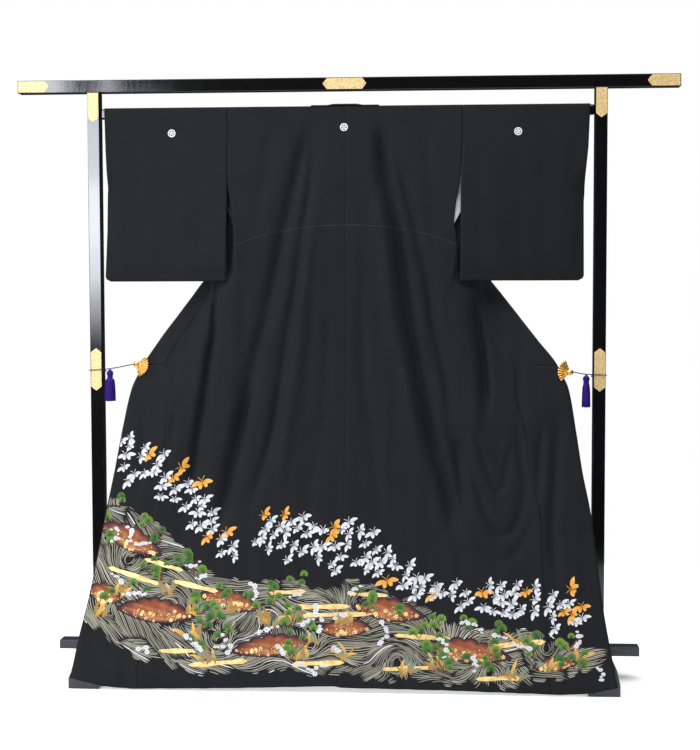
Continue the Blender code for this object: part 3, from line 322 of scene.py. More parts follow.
# Height of the ribs, radius at the fan's root, depth of the rim's scallops, and height of the raised rim
FAN_RELIEF, FAN_ROOT, FAN_SCALLOP, FAN_RIM = 0.0019, 0.007, 0.035, 0.0006
HUB_RADIUS, HUB_LENGTH = 0.0086, 0.0042
# The twisted cord is drawn this much thicker than its solid
CORD_DIAMETER, CORD_FULLNESS = 0.0025, 1.12
CORD_POINTS, CORD_PLIES, CORD_PITCH = 260, 2, 0.008
# How far from the hub it starts and from the post it stays, how far it drops on its way, and the length that
# it needs to turn round a corner of the post
CORD_START, CORD_CLEARANCE, CORD_DROP = 0.0009, 0.0007, {LEFT: 0.017, RIGHT: 0.009}
CORD_BEND = 0.005
# The tassel's neck lies this far below its top. Its floss has this many ribs, which are this deep.
TASSEL_NECK, TASSEL_RIBS, TASSEL_RIB_DEPTH = 0.020, 24, 0.09


def tint(name, description, default):
    """A colour in the panel."""
    return FloatVectorProperty(
        name=name, description=description, default=default, subtype="COLOR", size=3, min=0, max=1,
    )


def metres(name, description, default, low, high, precision=4):
    """A length in the panel."""
    return FloatProperty(
        name=name, description=description, default=default, min=low, max=high, precision=precision,
        unit="LENGTH",
    )


def amount(name, description, default, high, unit="NONE"):
    """A share, a brightness or a power in the panel."""
    return FloatProperty(name=name, description=description, default=default, min=0, max=high, unit=unit)


class ClothSettings(bpy.types.PropertyGroup):
    """Sizes and colours of the black cloth and its lining"""

    black: tint("Black", "Colour of the dyed crepe", (0.0098, 0.0103, 0.0128))
    lining: tint("Lining", "Colour of the silk lining", (0.62, 0.64, 0.71))
    crepe_grain: metres("Crepe grain", "Size of the crepe's grain", 0.0016, 0.0005, 0.006)
    crepe_depth: metres("Crepe depth", "How deep the crepe's grain is", 0.00035, 0, 0.002, 5)
    face_size: metres("Face size", "Width of the cloth's faces", 0.006, 0.003, 0.03)
    fold_share: amount("Fold depth", "Depth of all folds, as a share of the measured one", 1.5, 2)
    facing_top: metres("Hem facing", "Height of the black facing inside the hem", 0.56, 0.1, 0.9, 2)


class HemSettings(bpy.types.PropertyGroup):
    """Sizes and colours of the dyed hem and the small marks"""

    line_pitch: metres("Line pitch", "Distance between two lines of the water", 0.0040, 0.003, 0.02)
    butterflies: IntProperty(
        name="Butterflies", description="How many butterflies fly over the water", default=135,
        min=0, max=400,
    )
    wing: metres("Wing", "Length of a butterfly's fore wing", 0.0260, 0.005, 0.04)
    seed: IntProperty(name="Seed", description="Picks the scatter of the motifs", default=7, min=0, max=999)
    water_light: tint("Water, light", "Lightest line of the water", (0.40, 0.38, 0.30))
    water_dark: tint("Water, dark", "Darkest line of the water", (0.17, 0.165, 0.135))
    cloud: tint("Cloud", "Rust red of the clouds", (0.26, 0.072, 0.032))
    cloud_pale: tint("Cloud, pale", "Pale streaks in the clouds", (0.47, 0.20, 0.10))
    cloud_edge: tint("Cloud edge", "Shade at the clouds' edge", (0.035, 0.018, 0.030))
    leaf_gold: tint("Gold leaf", "Colour of the gold leaf", (0.84, 0.58, 0.23))
    leaf: tint("Leaf", "Tip of the green leaves", (0.23, 0.36, 0.055))
    twig: tint("Twig", "Brown of the twigs", (0.10, 0.030, 0.014))
    leaf_dark: tint("Leaf base", "Base of the green leaves", (0.012, 0.075, 0.035))
    white: tint("White", "White of blossoms and butterflies", (0.86, 0.87, 0.90))
    shade: tint("Shade", "Grey-blue shade in the white", (0.44, 0.46, 0.52))
    orange: tint("Orange", "Orange of some butterflies", (0.74, 0.27, 0.03))
    amber: tint("Amber", "Yellow in orange wings and reeds", (0.80, 0.50, 0.14))
    ochre: tint("Ochre", "Ochre of the reeds", (0.36, 0.21, 0.055))
    teal: tint("Teal", "Teal of the reeds", (0.12, 0.26, 0.27))


class StandSettings(bpy.types.PropertyGroup):
    """Finishes of the stand, its fittings, the clips and their cords"""

    lacquer: tint("Lacquer", "Colour of the posts and the upper rails", (0.0035, 0.0035, 0.0042))
    dark_lacquer: tint("Foot lacquer", "Colour of the feet and the low rail", (0.020, 0.022, 0.032))
    gilt: tint("Gilt", "Colour of the gilded plates", (0.93, 0.68, 0.32))
    gold: tint("Gold", "Colour of the fan clips", (0.74, 0.40, 0.11))
    purple: tint("Purple", "Colour of the tassels and cords", (0.020, 0.0022, 0.145))


class StudioSettings(bpy.types.PropertyGroup):
    """Floor and light"""

    floor: tint("Floor", "Colour of the floor", (0.95, 0.95, 0.95))
    backdrop: amount("Backdrop", "Brightness of the white behind the object", 1.0, 4)
    surround: amount("Surround", "Brightness of the room's soft light", 0.20, 4)
    mirrored: amount("Mirrored room", "Brightness of the room in mirrors", 0.03, 4)
    key: amount("Key light", "Power of the broad light from the upper left", 108.0, 1000, "POWER")
    top: amount("Top light", "Power of the broad light above the floor", 360.0, 2000, "POWER")
    panel: amount("Side panel", "Power of a square metre of the panels that the lacquer mirrors", 60.0, 1000)


# Cloth surfaces

# Distance down the back's cloth of each level, and the levels' heights with a turned sign, so that they rise
HANG = np.concatenate(
    [[0], np.cumsum([math.hypot(b.z - a.z, b.back - a.back) for a, b in zip(LEVELS[:-1], LEVELS[1:])])]
)
SUNK = [-level.z for level in LEVELS]
ARMHOLE_Z = LEVELS[ARMHOLE_LEVEL].z


def hang_at(z):
    """How far down the cloth a height lies."""
    return np.interp(-z, SUNK, HANG)


def hung(values, hang):
    """The smooth curve through one value for each level, down the cloth. It never overshoots."""
    values = np.asarray(values, float)
    steps = np.diff(HANG)
    slopes = np.diff(values) / steps
    before, after = slopes[:-1], slopes[1:]
    near, far = 2 * steps[1:] + steps[:-1], steps[1:] + 2 * steps[:-1]
    alike = before * after > 0
    weights = np.where(alike, near * after + far * before, 1)
    inner = np.where(alike, (near + far) * before * after / weights, 0)
    tangents = np.concatenate([slopes[:1], inner, slopes[-1:]])
    hang = np.clip(hang, 0, HANG[-1])
    low = np.clip(np.searchsorted(HANG, hang, side="right") - 1, 0, len(steps) - 1)
    step = steps[low]
    part = (hang - HANG[low]) / step
    start, end = values[low], values[low + 1]
    rise = end - start
    leave, arrive = tangents[low] * step, tangents[low + 1] * step
    twist = leave + arrive - 2 * rise
    return start + part * (leave + part * (3 * rise - 2 * leave - arrive + part * twist))


def column(name, hang):
    return hung([getattr(row, name) for row in LEVELS], hang)


def reach(side, name, hang):
    return hung([getattr(row, name) for row in REACHES[side]], hang)


def level_at(hang):
    return np.interp(hang, HANG, range(len(HANG)))


def spline(before, start, end, after, part):
    """The smooth curve's point between start and end. Part runs from 0 to 1."""
    bend = 2 * before - 5 * start + 4 * end - after
    twist = 3 * (start - end) + after - before
    return start + 0.5 * part * ((end - before) + part * (bend + part * twist))


def through(table, place):
    """The smooth curve through the rows of a table, at fractional row numbers."""
    table = np.asarray(table, float)
    last = len(table) - 1
    place = np.clip(place, 0, last)
    low = np.minimum(place.astype(int), last - 1)
    start, end = table[low], table[low + 1]
    earlier, later = table[np.maximum(low - 1, 0)], table[np.minimum(low + 2, last)]
    low, place = (value.reshape(-1, *[1] * (table.ndim - 1)) for value in (low, place))
    part = place - low
    before = np.where(low > 0, earlier, 2 * start - end)
    after = np.where(low + 2 <= last, later, 2 * end - start)
    return spline(before, start, end, after, part)


def looked_up(pairs, value):
    ordered = sorted(pairs)
    return np.interp(value, [pair[0] for pair in ordered], [pair[1] for pair in ordered])


def ease(value):
    value = np.clip(value, 0, 1)
    return value * value * (3 - 2 * value)


def fold_depth(x, z):
    """How far the folds carry the point (x, z) of the flat outline away from the viewer."""
    total = np.zeros(np.broadcast(x, z).shape)
    for fold in FOLDS:
        path = through(fold.path, np.linspace(0, len(fold.path) - 1, 4 * len(fold.path)))
        nearest = np.full(total.shape, np.inf)
        for start, end in zip(path[:-1], path[1:]):
            run = end - start
            along = np.clip(((x - start[0]) * run[0] + (z - start[1]) * run[1]) / (run @ run), 0, 1)
            away = np.hypot(x - start[0] - along * run[0], z - start[1] - along * run[1])
            nearest = np.minimum(nearest, away)
        top, foot = path[:, 1].max(), path[:, 1].min()
        taper = min(FOLD_TAPER, (top - foot) / 2)
        ends = ease((top - z) / taper) * (1 if "swag" in fold.name else ease((z - foot) / taper))
        total += fold.depth * np.exp(-((nearest / fold.width) ** 2)) * ends
    return total * bpy.context.scene.kimono_cloth.fold_share


# Upright waves of slack cloth: depth, length across, how far they wander with height and how fast, and where
# the wandering and the wave start. Then the height at which they start, and over what height.
SLACK_WAVES = ((0.0009, 0.083, 0.35, 2.1, 0.0, 0.8), (0.0006, 0.047, 0.22, 3.7, 1.0, 2.1))
SLACK_TOP, SLACK_FADE = 1.50, 0.30


def slack(x, z):
    """The faint unevenness of hung cloth, in long shallow waves."""
    wave = 0
    for depth, length, wander, pace, lag, start in SLACK_WAVES:
        wave = wave + depth * np.sin(2 * math.pi * (x / length + wander * np.sin(pace * z + lag)) + start)
    level = 0.0004 * np.sin(2 * math.pi * (z / 0.21 + 0.4 * x))
    return ease((SLACK_TOP - z) / SLACK_FADE) * (wave + level)


def hem_lift(x, z):
    return looked_up(HEM_LIFT, x) * np.clip(1 - (z - HEM_HEIGHT) / HEM_LIFT_REACH, 0, 1) ** 2


def placed(x, y, z):
    return np.stack([x, y, z + hem_lift(x, z)], axis=-1)


def back_place(side, across, hang):
    """The back panel: across runs from 0 at the side to 1 at the back seam."""
    z = column("z", hang)
    outer = side * reach(side, "back", hang)
    seam = looked_up(BACK_SEAM, z) + side * SEAM_HALF
    x = outer + (seam - outer) * across
    dip = SEAM_DIP * np.exp(-(((x - seam) / SEAM_DIP_HALF) ** 2)) * ease(hang / SEAM_DIP_START)
    return placed(x, column("back", hang) + fold_depth(x, z) + slack(x, z) + dip, z)


def front_place(side, across, hang):
    """The front's course: across runs from 0 at the armhole and side to 1 at the free edge."""
    z = column("z", hang)
    edge = "left" if side == LEFT else "right"
    xs = [reach(side, name, hang) for name in ("front", "strip", "pleat", "turn", "free")]
    ys = [column(name, hang) for name in (edge, "strip", "pleat", "turn", "free")]
    x, y = (course(values, across) for values in (xs, ys))
    outward = side * x
    facing = ease((level_at(hang) - SIDE_SEAM_TOP[side] + 2) / 2)
    return placed(outward, y + (fold_depth(outward, z) + slack(outward, z)) * facing, z)


def course(values, across):
    """The smooth curve through five points of one level."""
    shape = np.broadcast(across, values[0]).shape
    rows = np.stack([np.broadcast_to(value, shape) for value in values])
    place = np.clip(np.broadcast_to(across, shape) * 4, 0, 4)
    low = np.minimum(place.astype(int), 3)
    part = place - low

    def row(number):
        return np.take_along_axis(rows, number[None], axis=0)[0]

    start, end = row(low), row(low + 1)
    before = np.where(low > 0, row(np.maximum(low - 1, 0)), 2 * start - end)
    after = np.where(low < 3, row(np.minimum(low + 2, 4)), 2 * end - start)
    return spline(before, start, end, after, part)


# Share of the course over which its length is measured
NUDGE = 0.005


def seam_step(side, across, hang):
    """How much of the course makes half a seam's gap there."""
    start, end = np.clip(across - NUDGE, 0, 1), np.clip(across + NUDGE, 0, 1)
    run = front_place(side, end, hang) - front_place(side, start, hang)
    return SEAM_HALF * (end - start) / np.linalg.norm(run, axis=-1)


def body_edge(side, hang):
    """Where the front panel ends: at the collar above, and at the overlap panel below."""
    seam = np.where(hang < HANG[OVERLAP_TOP], column("collar", hang), column("overlap", hang))
    return seam - seam_step(side, seam, hang)


# Length of cloth that bends over the rod, and the distance between its rows there
ROD_BEND, ROD_PITCH = 0.016, 0.002


def stations(top, foot):
    """Distances down the cloth at which its rows of faces lie, closer together over the rod."""
    pitch = bpy.context.scene.kimono_cloth.face_size
    bend = min(ROD_BEND, foot)
    over = np.arange(top, bend, ROD_PITCH) if top < bend else np.empty(0)
    start = max(top, bend)
    return np.concatenate([over, np.linspace(start, foot, max(2, round((foot - start) / pitch) + 1))])


def faces_across(width):
    return max(2, round(width / bpy.context.scene.kimono_cloth.face_size))


def add_sheet(bm, columns, rows, place, laid):
    """A grid of faces whose corners lie at place(column, row). laid gives their spots on the flat cloth."""
    corners = bmesh.ops.create_grid(bm, x_segments=columns, y_segments=rows, size=0.5)["verts"]
    counts = np.round([[(corner.co.x + 0.5) * columns, (corner.co.y + 0.5) * rows] for corner in corners])
    threads = bm.loops.layers.uv.get("threads") or bm.loops.layers.uv.new("threads")
    places = place(counts[:, 0], counts[:, 1])
    spots = np.stack(np.broadcast_arrays(*laid(counts[:, 0], counts[:, 1])), axis=-1)
    for corner, point, spot in zip(corners, places, spots):
        corner.co = point
        for loop in corner.link_loops:
            loop[threads].uv = spot


def add_piece(name, mesh, finishes):
    """A finished piece that moves with the frame's one body."""
    made = bpy.data.objects.new(name, mesh)
    for finish in finishes:
        made.data.materials.append(finish)
    bpy.data.collections[COLLECTION_NAME].objects.link(made)
    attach(made, "root")
    return made


def mesh_of(bm, name, smooth=True):
    for face in bm.faces:
        face.smooth = smooth
    mesh = bpy.data.meshes.new(name)
    bm.to_mesh(mesh)
    bm.free()
    return mesh


def add_cloth(name, bm, wall, finishes):
    """A thin shell about the sheet. A second finish goes on its inner side."""
    bmesh.ops.remove_doubles(bm, verts=bm.verts, dist=JOIN)
    bmesh.ops.recalc_face_normals(bm, faces=bm.faces)
    made = add_piece(name, mesh_of(bm, name), finishes)
    thickness = made.modifiers.new("Wall", "SOLIDIFY")
    thickness.thickness = wall
    thickness.offset = 0
    thickness.use_even_offset = True
    thickness.material_offset = len(finishes) - 1
    return made


def make_body(side_name, finishes):
    """One length of cloth: up the back, over the shoulder, down the front, joined at the side."""
    side = SIDES[side_name]
    rows = stations(0, HANG[-1])
    last = len(rows) - 1
    shoulder_end = float(body_edge(side, np.zeros(1))[0])
    wide = faces_across(FRONT_WIDTH)
    neck = faces_across(NECK_HALF)
    neck_share = 1 - NECK_HALF / SHOULDER_WIDTH
    side_seam = HANG[SIDE_SEAM_TOP[side]]
    # The last columns before the back seam are narrow, for the seam's groove.
    shares = np.concatenate([
        np.linspace(0, neck_share, wide + 1),
        np.linspace(neck_share, 1, neck + 1)[1:-1],
        1 - np.array(SEAM_COLUMNS),
    ])

    def back(columns, numbers):
        hang = rows[numbers.astype(int)]
        places = back_place(side, shares[columns.astype(int)], hang)
        on_shoulder = (numbers == 0) & (columns <= wide)
        shared = front_place(side, shoulder_end * columns / wide, np.zeros(len(numbers)))
        return np.where(on_shoulder[:, None], shared, places)

    def front(columns, numbers):
        hang = rows[numbers.astype(int)]
        places = front_place(side, body_edge(side, hang) * columns / wide, hang)
        at_side_seam = (columns == 0) & (hang >= side_seam)
        return np.where(at_side_seam[:, None], back_place(side, np.zeros(len(numbers)), hang), places)

    def back_laid(columns, numbers):
        return BODY_WIDTH * (1 - shares[columns.astype(int)]), -rows[numbers.astype(int)]

    def front_laid(columns, numbers):
        return BODY_WIDTH - FRONT_WIDTH * columns / wide, rows[numbers.astype(int)]

    edge_rows = stations(float(hang_at(EDGE_TOP)), side_seam)

    def turned_in(columns, numbers):
        """A strip behind the armhole seam, which lies deeper where the seam is open."""
        hang = edge_rows[numbers.astype(int)]
        z = column("z", hang)
        edge = reach(side, "back", hang)
        start = edge - EDGE_LAP
        past = np.maximum(edge, looked_up(SLEEVE_INNER[side], z)) + EDGE_LAP - edge
        end = edge + past * ease((side_seam - hang) / EDGE_FADE)
        opened = ease((hang - HANG[ARMHOLE_LEVEL - 2]) / EDGE_FADE)
        opened = opened * ease((side_seam - hang) / (2 * EDGE_FADE))
        deep = EDGE_BACK + (EDGE_DEEP - EDGE_BACK) * opened
        outward = start + (end - start) * columns / EDGE_COLUMNS
        return placed(side * outward, column("back", hang) + deep, z)

    def edge_laid(_, numbers):
        return BODY_WIDTH, -edge_rows[numbers.astype(int)]

    bm = bmesh.new()
    add_sheet(bm, len(shares) - 1, last, back, back_laid)
    add_sheet(bm, wide, last, front, front_laid)
    add_sheet(bm, EDGE_COLUMNS, len(edge_rows) - 1, turned_in, edge_laid)
    return add_cloth(f"body_cloth_{side_name}", bm, WALL, finishes)


def make_overlap(side_name, finishes):
    """The narrow front panel, from its point on the collar's seam down to the hem. Below the collar it runs
    on to the garment's edge."""
    side = SIDES[side_name]
    bm = bmesh.new()
    columns, more = faces_across(OVERLAP_WIDTH), faces_across(OVERLAP_GAIN)
    for top, foot, extra in ((HANG[OVERLAP_TOP], HANG[COLLAR_END], 0), (HANG[COLLAR_END], HANG[-1], more)):
        rows = stations(top, foot)

        def place(numbers, row_numbers, rows=rows, extra=extra):
            hang = rows[row_numbers.astype(int)]
            inner, outer = column("overlap", hang), column("collar", hang)
            inner = inner + seam_step(side, inner, hang)
            outer = outer - seam_step(side, outer, hang)
            across = inner + (outer - inner) * np.minimum(numbers / columns, 1)
            if extra:
                across = across + (1 - outer) * np.maximum(numbers - columns, 0) / extra
            return front_place(side, across, hang)

        def laid(numbers, row_numbers, rows=rows):
            return OVERLAP_WIDTH * numbers / columns, rows[row_numbers.astype(int)]

        add_sheet(bm, columns + extra, len(rows) - 1, place, laid)
    return add_cloth(f"okumi_cloth_{side_name}", bm, WALL, finishes)


def make_collar_front(side_name, finishes):
    """The collar's stretch down one front, to its end at the clip."""
    side = SIDES[side_name]
    # Its top end runs on up under the band at the neck.
    rows = stations(HANG[COLLAR_START], HANG[COLLAR_END] - COLLAR_STEP)
    # The thicker collar is flush with the panel beside it on the side that the back's viewer sees.
    flush = (COLLAR_WALL - WALL) / 2

    def place(numbers, row_numbers):
        hang = rows[row_numbers.astype(int)]
        inner = column("collar", hang)
        inner = inner + seam_step(side, inner, hang)
        across = inner + (1 - inner) * numbers / COLLAR_COLUMNS
        return front_place(side, across, hang) + np.array([0, flush, 0])

    def laid(numbers, row_numbers):
        return COLLAR_WIDTH * numbers / COLLAR_COLUMNS, rows[row_numbers.astype(int)]

    bm = bmesh.new()
    add_sheet(bm, COLLAR_COLUMNS, len(rows) - 1, place, laid)
    return add_cloth(f"collar_cloth_{side_name}", bm, COLLAR_WALL, finishes)


def neck_course():
    """The collar's course over the rod, (y, z) from back to front: the shoulder's points moved out."""
    clear = WALL / 2 + GAP + COLLAR_WALL / 2
    shoulder = [(level.back, level.z) for level in LEVELS[:ROD_LEVEL + 1]]
    under = np.array(shoulder[::-1] + [(-y, z) for y, z in shoulder[1:]])
    before = np.vstack([under[:1], under[:-1]])
    after = np.vstack([under[1:], under[-1:]])
    run = after - before
    outward = np.stack([-run[:, 1], run[:, 0]], axis=-1) / np.linalg.norm(run, axis=-1, keepdims=True)
    over = under + outward * clear
    return [tuple(point) for point in over] + [(NECK_BAND_HANG, NECK_BAND_REAR)]


def make_collar_neck(finishes):
    """The collar's stretch over the rod, between the two shoulders."""
    profile = neck_course()
    columns, finer = 40, 3
    rows = finer * (len(profile) - 1)

    def place(numbers, row_numbers):
        x = NECK_BAND_HALF * (2 * numbers / columns - 1)
        start = NECK_START + (len(profile) - 1 - NECK_START) * row_numbers / rows
        y = through([point[0] for point in profile], start)
        z = through([point[1] for point in profile], start)
        crown = NECK_CROWN * ease((NECK_CROWN_HALF - abs(x)) / NECK_CROWN_FADE)
        crown = crown * ease((z - NECK_CROWN_FOOT) / (NECK_CROWN_FADE / 2))
        return np.stack([x, y, z + crown], axis=-1)

    def laid(numbers, row_numbers):
        return 2 * NECK_BAND_HALF * numbers / columns, NECK_LENGTH * row_numbers / rows

    bm = bmesh.new()
    add_sheet(bm, columns, rows, place, laid)
    return add_cloth("collar_cloth_neck", bm, COLLAR_WALL, finishes)


def sleeve_layer(side, across, hang, far):
    """One layer of a sleeve: across runs from 0 at the inner edge to 1 at the cuff."""
    z = column("z", hang)
    on_rod = hang <= HANG[ROD_LEVEL]
    if far:
        inner = np.where(z > ARMHOLE_Z, column("left", hang), looked_up(SLEEVE_FAR_INNER, z))
        outer = looked_up(SLEEVE_FAR_OUTER, z)
    else:
        inner = column("back", hang)
        outer = looked_up(SLEEVE_BACK_OUTER, z)
    rim = column("back", hang) * (-1 if far else 1)
    inner, outer = (np.where(on_rod, rim, value) for value in (inner, outer))
    below = np.maximum(SLEEVE_BOTTOM + SLEEVE_CORNER - z, 0)
    corner = SLEEVE_CORNER - np.sqrt(np.maximum(SLEEVE_CORNER**2 - below**2, 0))
    start = looked_up(SLEEVE_INNER[side], z)
    end = looked_up(SLEEVE_OUTER[side], z) - corner
    return start + (end - start) * across, inner + (outer - inner) * across, z


def sleeve_place(side, across, hang, far):
    """One layer of a sleeve with its closed edges and its folds."""
    near = sleeve_layer(side, across, hang, False)
    rear = sleeve_layer(side, across, hang, True)
    x, z = near[0], near[2]
    middle, half = (near[1] + rear[1]) / 2, (rear[1] - near[1]) / 2
    to_cuff = looked_up(SLEEVE_OUTER[side], z) - x
    at_cuff = ease((CUFF_SEAM_REACH - to_cuff) / CUFF_SEAM_REACH)
    cuff_closed = ease((CUFF_SEAM_TOP - z) / CUFF_SEAM_FADE) * at_cuff
    bottom_closed = ease((SLEEVE_BOTTOM + BOTTOM_FADE - z) / BOTTOM_FADE)
    closed = np.maximum(cuff_closed, bottom_closed)
    half = half + (SLEEVE_FOLD / 2 - half) * closed
    return np.stack([side * x, middle + half * (1 if far else -1) + sleeve_folds(side, x, z), z], axis=-1)


def sleeve_folds(side, x, z):
    """Soft upright folds in both layers of a sleeve. They start under the rod."""
    total = np.zeros(np.shape(x))
    for centre, lean, width, depth in SLEEVE_FOLDS:
        line = centre + SLEEVE_FOLD_SHIFT[side] + lean * (1.5 - z)
        total += depth * np.exp(-(((x - line) / width) ** 2))
    return total * ease((SLEEVE_FOLD_TOP - z) / SLEEVE_FOLD_FADE)


def make_sleeve(side_name, finishes):
    """A length of cloth folded over the rod, closed below and along the lower cuff edge."""
    side = SIDES[side_name]
    rows = stations(0, float(hang_at(SLEEVE_BOTTOM)))
    last = len(rows) - 1
    around = 2 * last + 1
    wide = faces_across(SLEEVE_WIDTH)
    first = int(np.searchsorted(rows, HANG[ARMHOLE_LEVEL]))

    def layers(across, hang, far):
        near_places, far_places = (sleeve_place(side, across, hang, layer) for layer in (False, True))
        return np.where(far[:, None], far_places, near_places)

    def tube_rows(numbers):
        far = numbers > last
        return far, rows[np.where(far, around - numbers, numbers).astype(int)]

    def tube(columns, numbers):
        far, hang = tube_rows(numbers)
        return layers(columns / wide, hang, far)

    def cuff_seam(columns, numbers):
        return layers(np.ones(len(numbers)), rows[(numbers + first).astype(int)], columns == 1)

    def tube_laid(columns, numbers):
        far, hang = tube_rows(numbers)
        return SLEEVE_WIDTH * columns / wide, np.where(far, hang, -hang)

    def seam_laid(columns, numbers):
        return SLEEVE_WIDTH + SLEEVE_FOLD * columns, rows[(numbers + first).astype(int)]

    bm = bmesh.new()
    add_sheet(bm, wide, around, tube, tube_laid)
    add_sheet(bm, 1, last - first, cuff_seam, seam_laid)
    return add_cloth(f"sleeve_cloth_{side_name}", bm, WALL, finishes)


def make_lining(side_name, finishes):
    """The stretch of lining that shows in the armhole slit, close behind the edges of back and sleeve."""
    side = SIDES[side_name]
    top = HANG[LINING_TOP]
    (near, low), (far, high) = LINING_FOOT
    start = float(reach(side, "back", HANG[ARMHOLE_LEVEL + 1])) - LINING_LAP
    end = looked_up(SLEEVE_INNER[side], ARMHOLE_Z) + LINING_LAP

    def place(numbers, row_numbers):
        share = numbers / LINING_COLUMNS
        outward = start + (end - start) * share
        foot = hang_at(low + (high - low) * (outward - near) / (far - near))
        hang = top + (foot - top) * row_numbers / LINING_ROWS
        bulge = LINING_SLANT * share + LINING_WAVE * np.sin(5.5 * share + 1.2)
        return placed(side * outward, column("back", hang) + LINING_BACK + bulge, column("z", hang))

    def laid(numbers, row_numbers):
        return LINING_WIDTH * numbers / LINING_COLUMNS, LINING_LENGTH * row_numbers / LINING_ROWS

    bm = bmesh.new()
    add_sheet(bm, LINING_COLUMNS, LINING_ROWS, place, laid)
    return add_cloth(f"lining_cloth_{side_name}", bm, LINING_WALL, finishes)


# Materials

# How wide the grains of each finish are, in metres
BLACK_CLOUD, LINING_CLOUD = 0.09, 0.03
LEAF_SPOT, LEAF_CLOUD = 0.0021, 0.016
LACQUER_WAVE, LACQUER_RUB = 0.06, 0.004
PUNCH, SCROLL = 0.0042, 0.006
BRUSH, GOLD_CLOUD = 0.0016, 0.010
STRAND, STRAND_GROUP = 0.0007, 0.004
# How deep they are, in metres
LEAF_DEPTH, WAVE_DEPTH, RUB_DEPTH, PUNCH_DEPTH, BRUSH_DEPTH, STRAND_DEPTH = (
    0.0002, 0.0004, 0.00004, 0.0005, 0.00012, 0.0003,
)
# Painted shade: how much of the gold's red, green and blue is left in a groove, and of the purple in the
# cord's twist
GROOVE_SHADE_SHARES, CORD_PAINTED_SHADE = (0.38, 0.27, 0.15), 0.55
# Half the width over which one colour turns into the next at a seam, how far the hem's seam line reaches,
# and its colour
SOFT, SEAM_REACH, SEAM_COLOUR = 0.0005, 0.0016, (0.01, 0.01, 0.012, 1)


class Look:
    """A material being built: its node tree and its main shader."""

    def __init__(self, name, colour, roughness, **settings):
        self.material = bpy.data.materials.new(name)
        self.material.use_nodes = True
        self.tree = self.material.node_tree
        self.shader = self.tree.nodes["Principled BSDF"]
        self.put(self.shader, {"Base Color": (*colour, 1.0), "Roughness": roughness})
        names = {"metallic": "Metallic", "sheen": "Sheen Weight", "sheen_roughness": "Sheen Roughness",
                 "specular": "Specular IOR Level", "coat": "Coat Weight", "coat_roughness": "Coat Roughness"}
        self.put(self.shader, {names[key]: value for key, value in settings.items()})

    def put(self, node, inputs):
        for key, value in inputs.items():
            if isinstance(value, bpy.types.NodeSocket):
                self.tree.links.new(value, node.inputs[key])
            else:
                node.inputs[key].default_value = value

    def add(self, kind, inputs=None, **settings):
        made = self.tree.nodes.new(kind)
        for key, value in settings.items():
            setattr(made, key, value)
        self.put(made, inputs or {})
        return made

    def places(self, stretch=(1, 1, 1), threads=False):
        """Places on the piece in metres: its own threads' map, or the object's coordinates."""
        if threads:
            source = self.add("ShaderNodeUVMap", uv_map="threads").outputs["UV"]
        else:
            source = self.add("ShaderNodeTexCoord").outputs["Object"]
        return self.add("ShaderNodeMapping", {"Vector": source, "Scale": stretch}).outputs["Vector"]

    def noise(self, vector, size, detail=2.0, roughness=0.5):
        """Noise whose grains are about size metres wide, as a value about 0.5."""
        inputs = {"Vector": vector, "Scale": 1 / size, "Detail": detail, "Roughness": roughness}
        return self.add("ShaderNodeTexNoise", inputs).outputs["Fac"]

    def ramp(self, value, low, high, start=0.0, end=1.0):
        """The value between low and high, spread from start to end."""
        inputs = {"Value": value, "From Min": low, "From Max": high, "To Min": start, "To Max": end}
        return self.add("ShaderNodeMapRange", inputs).outputs["Result"]

    def sum(self, a, b, operation="ADD"):
        return self.add("ShaderNodeMath", {0: a, 1: b}, operation=operation).outputs["Value"]

    def mix(self, share, a, b, blend="MIX"):
        made = self.add("ShaderNodeMix", data_type="RGBA", blend_type=blend)
        for number, value in ((0, share), (6, a), (7, b)):
            if isinstance(value, bpy.types.NodeSocket):
                self.tree.links.new(value, made.inputs[number])
            else:
                made.inputs[number].default_value = value
        return made.outputs[2]

    def axis(self, vector, name):
        return self.add("ShaderNodeSeparateXYZ", {0: vector}).outputs[name]

    def tinted(self, colour, share):
        """The colour made darker and lighter by a share that runs from 0 to 1."""
        return self.mix(share, toned(colour, 0.72), toned(colour, 1.28))

    def bump(self, height, depth, strength=1.0, under=None):
        inputs = {"Height": height, "Distance": depth, "Strength": strength}
        if under is not None:
            inputs["Normal"] = under
        return self.add("ShaderNodeBump", inputs).outputs["Normal"]

    def feed(self, inputs):
        self.put(self.shader, inputs)


def toned(colour, share):
    """The colour times a share, with the alpha that a node asks for."""
    return (*(min(1.0, share * part) for part in colour), 1.0)


def crepe_grain(look, settings, threads=True):
    """Silk crepe's fine crinkle, longer along the warp, over a faint even weave."""
    crinkle = look.noise(look.places((1, 0.62, 1), threads), settings.crepe_grain, 3.0, 0.65)
    coarse = look.noise(look.places((1, 0.8, 1), threads), 3.4 * settings.crepe_grain, 2.0)
    return look.sum(look.sum(crinkle, 0.75, "MULTIPLY"), look.sum(coarse, 0.25, "MULTIPLY"))


def crepe_look(settings):
    """The dyed black crepe: matt, grainy, with a weak bloom of its fibres."""
    look = Look("black silk crepe", settings.black, 0.80, sheen=0.02, sheen_roughness=0.5, specular=0.12)
    grain = crepe_grain(look, settings)
    cloudy = look.ramp(look.noise(look.places(threads=True), BLACK_CLOUD, 3.0), 0.3, 0.7, -0.12, 0.12)
    look.feed({
        "Base Color": look.tinted(settings.black, look.sum(look.ramp(grain, 0.34, 0.66), cloudy)),
        "Normal": look.bump(grain, settings.crepe_depth, 0.8),
    })
    return look.material


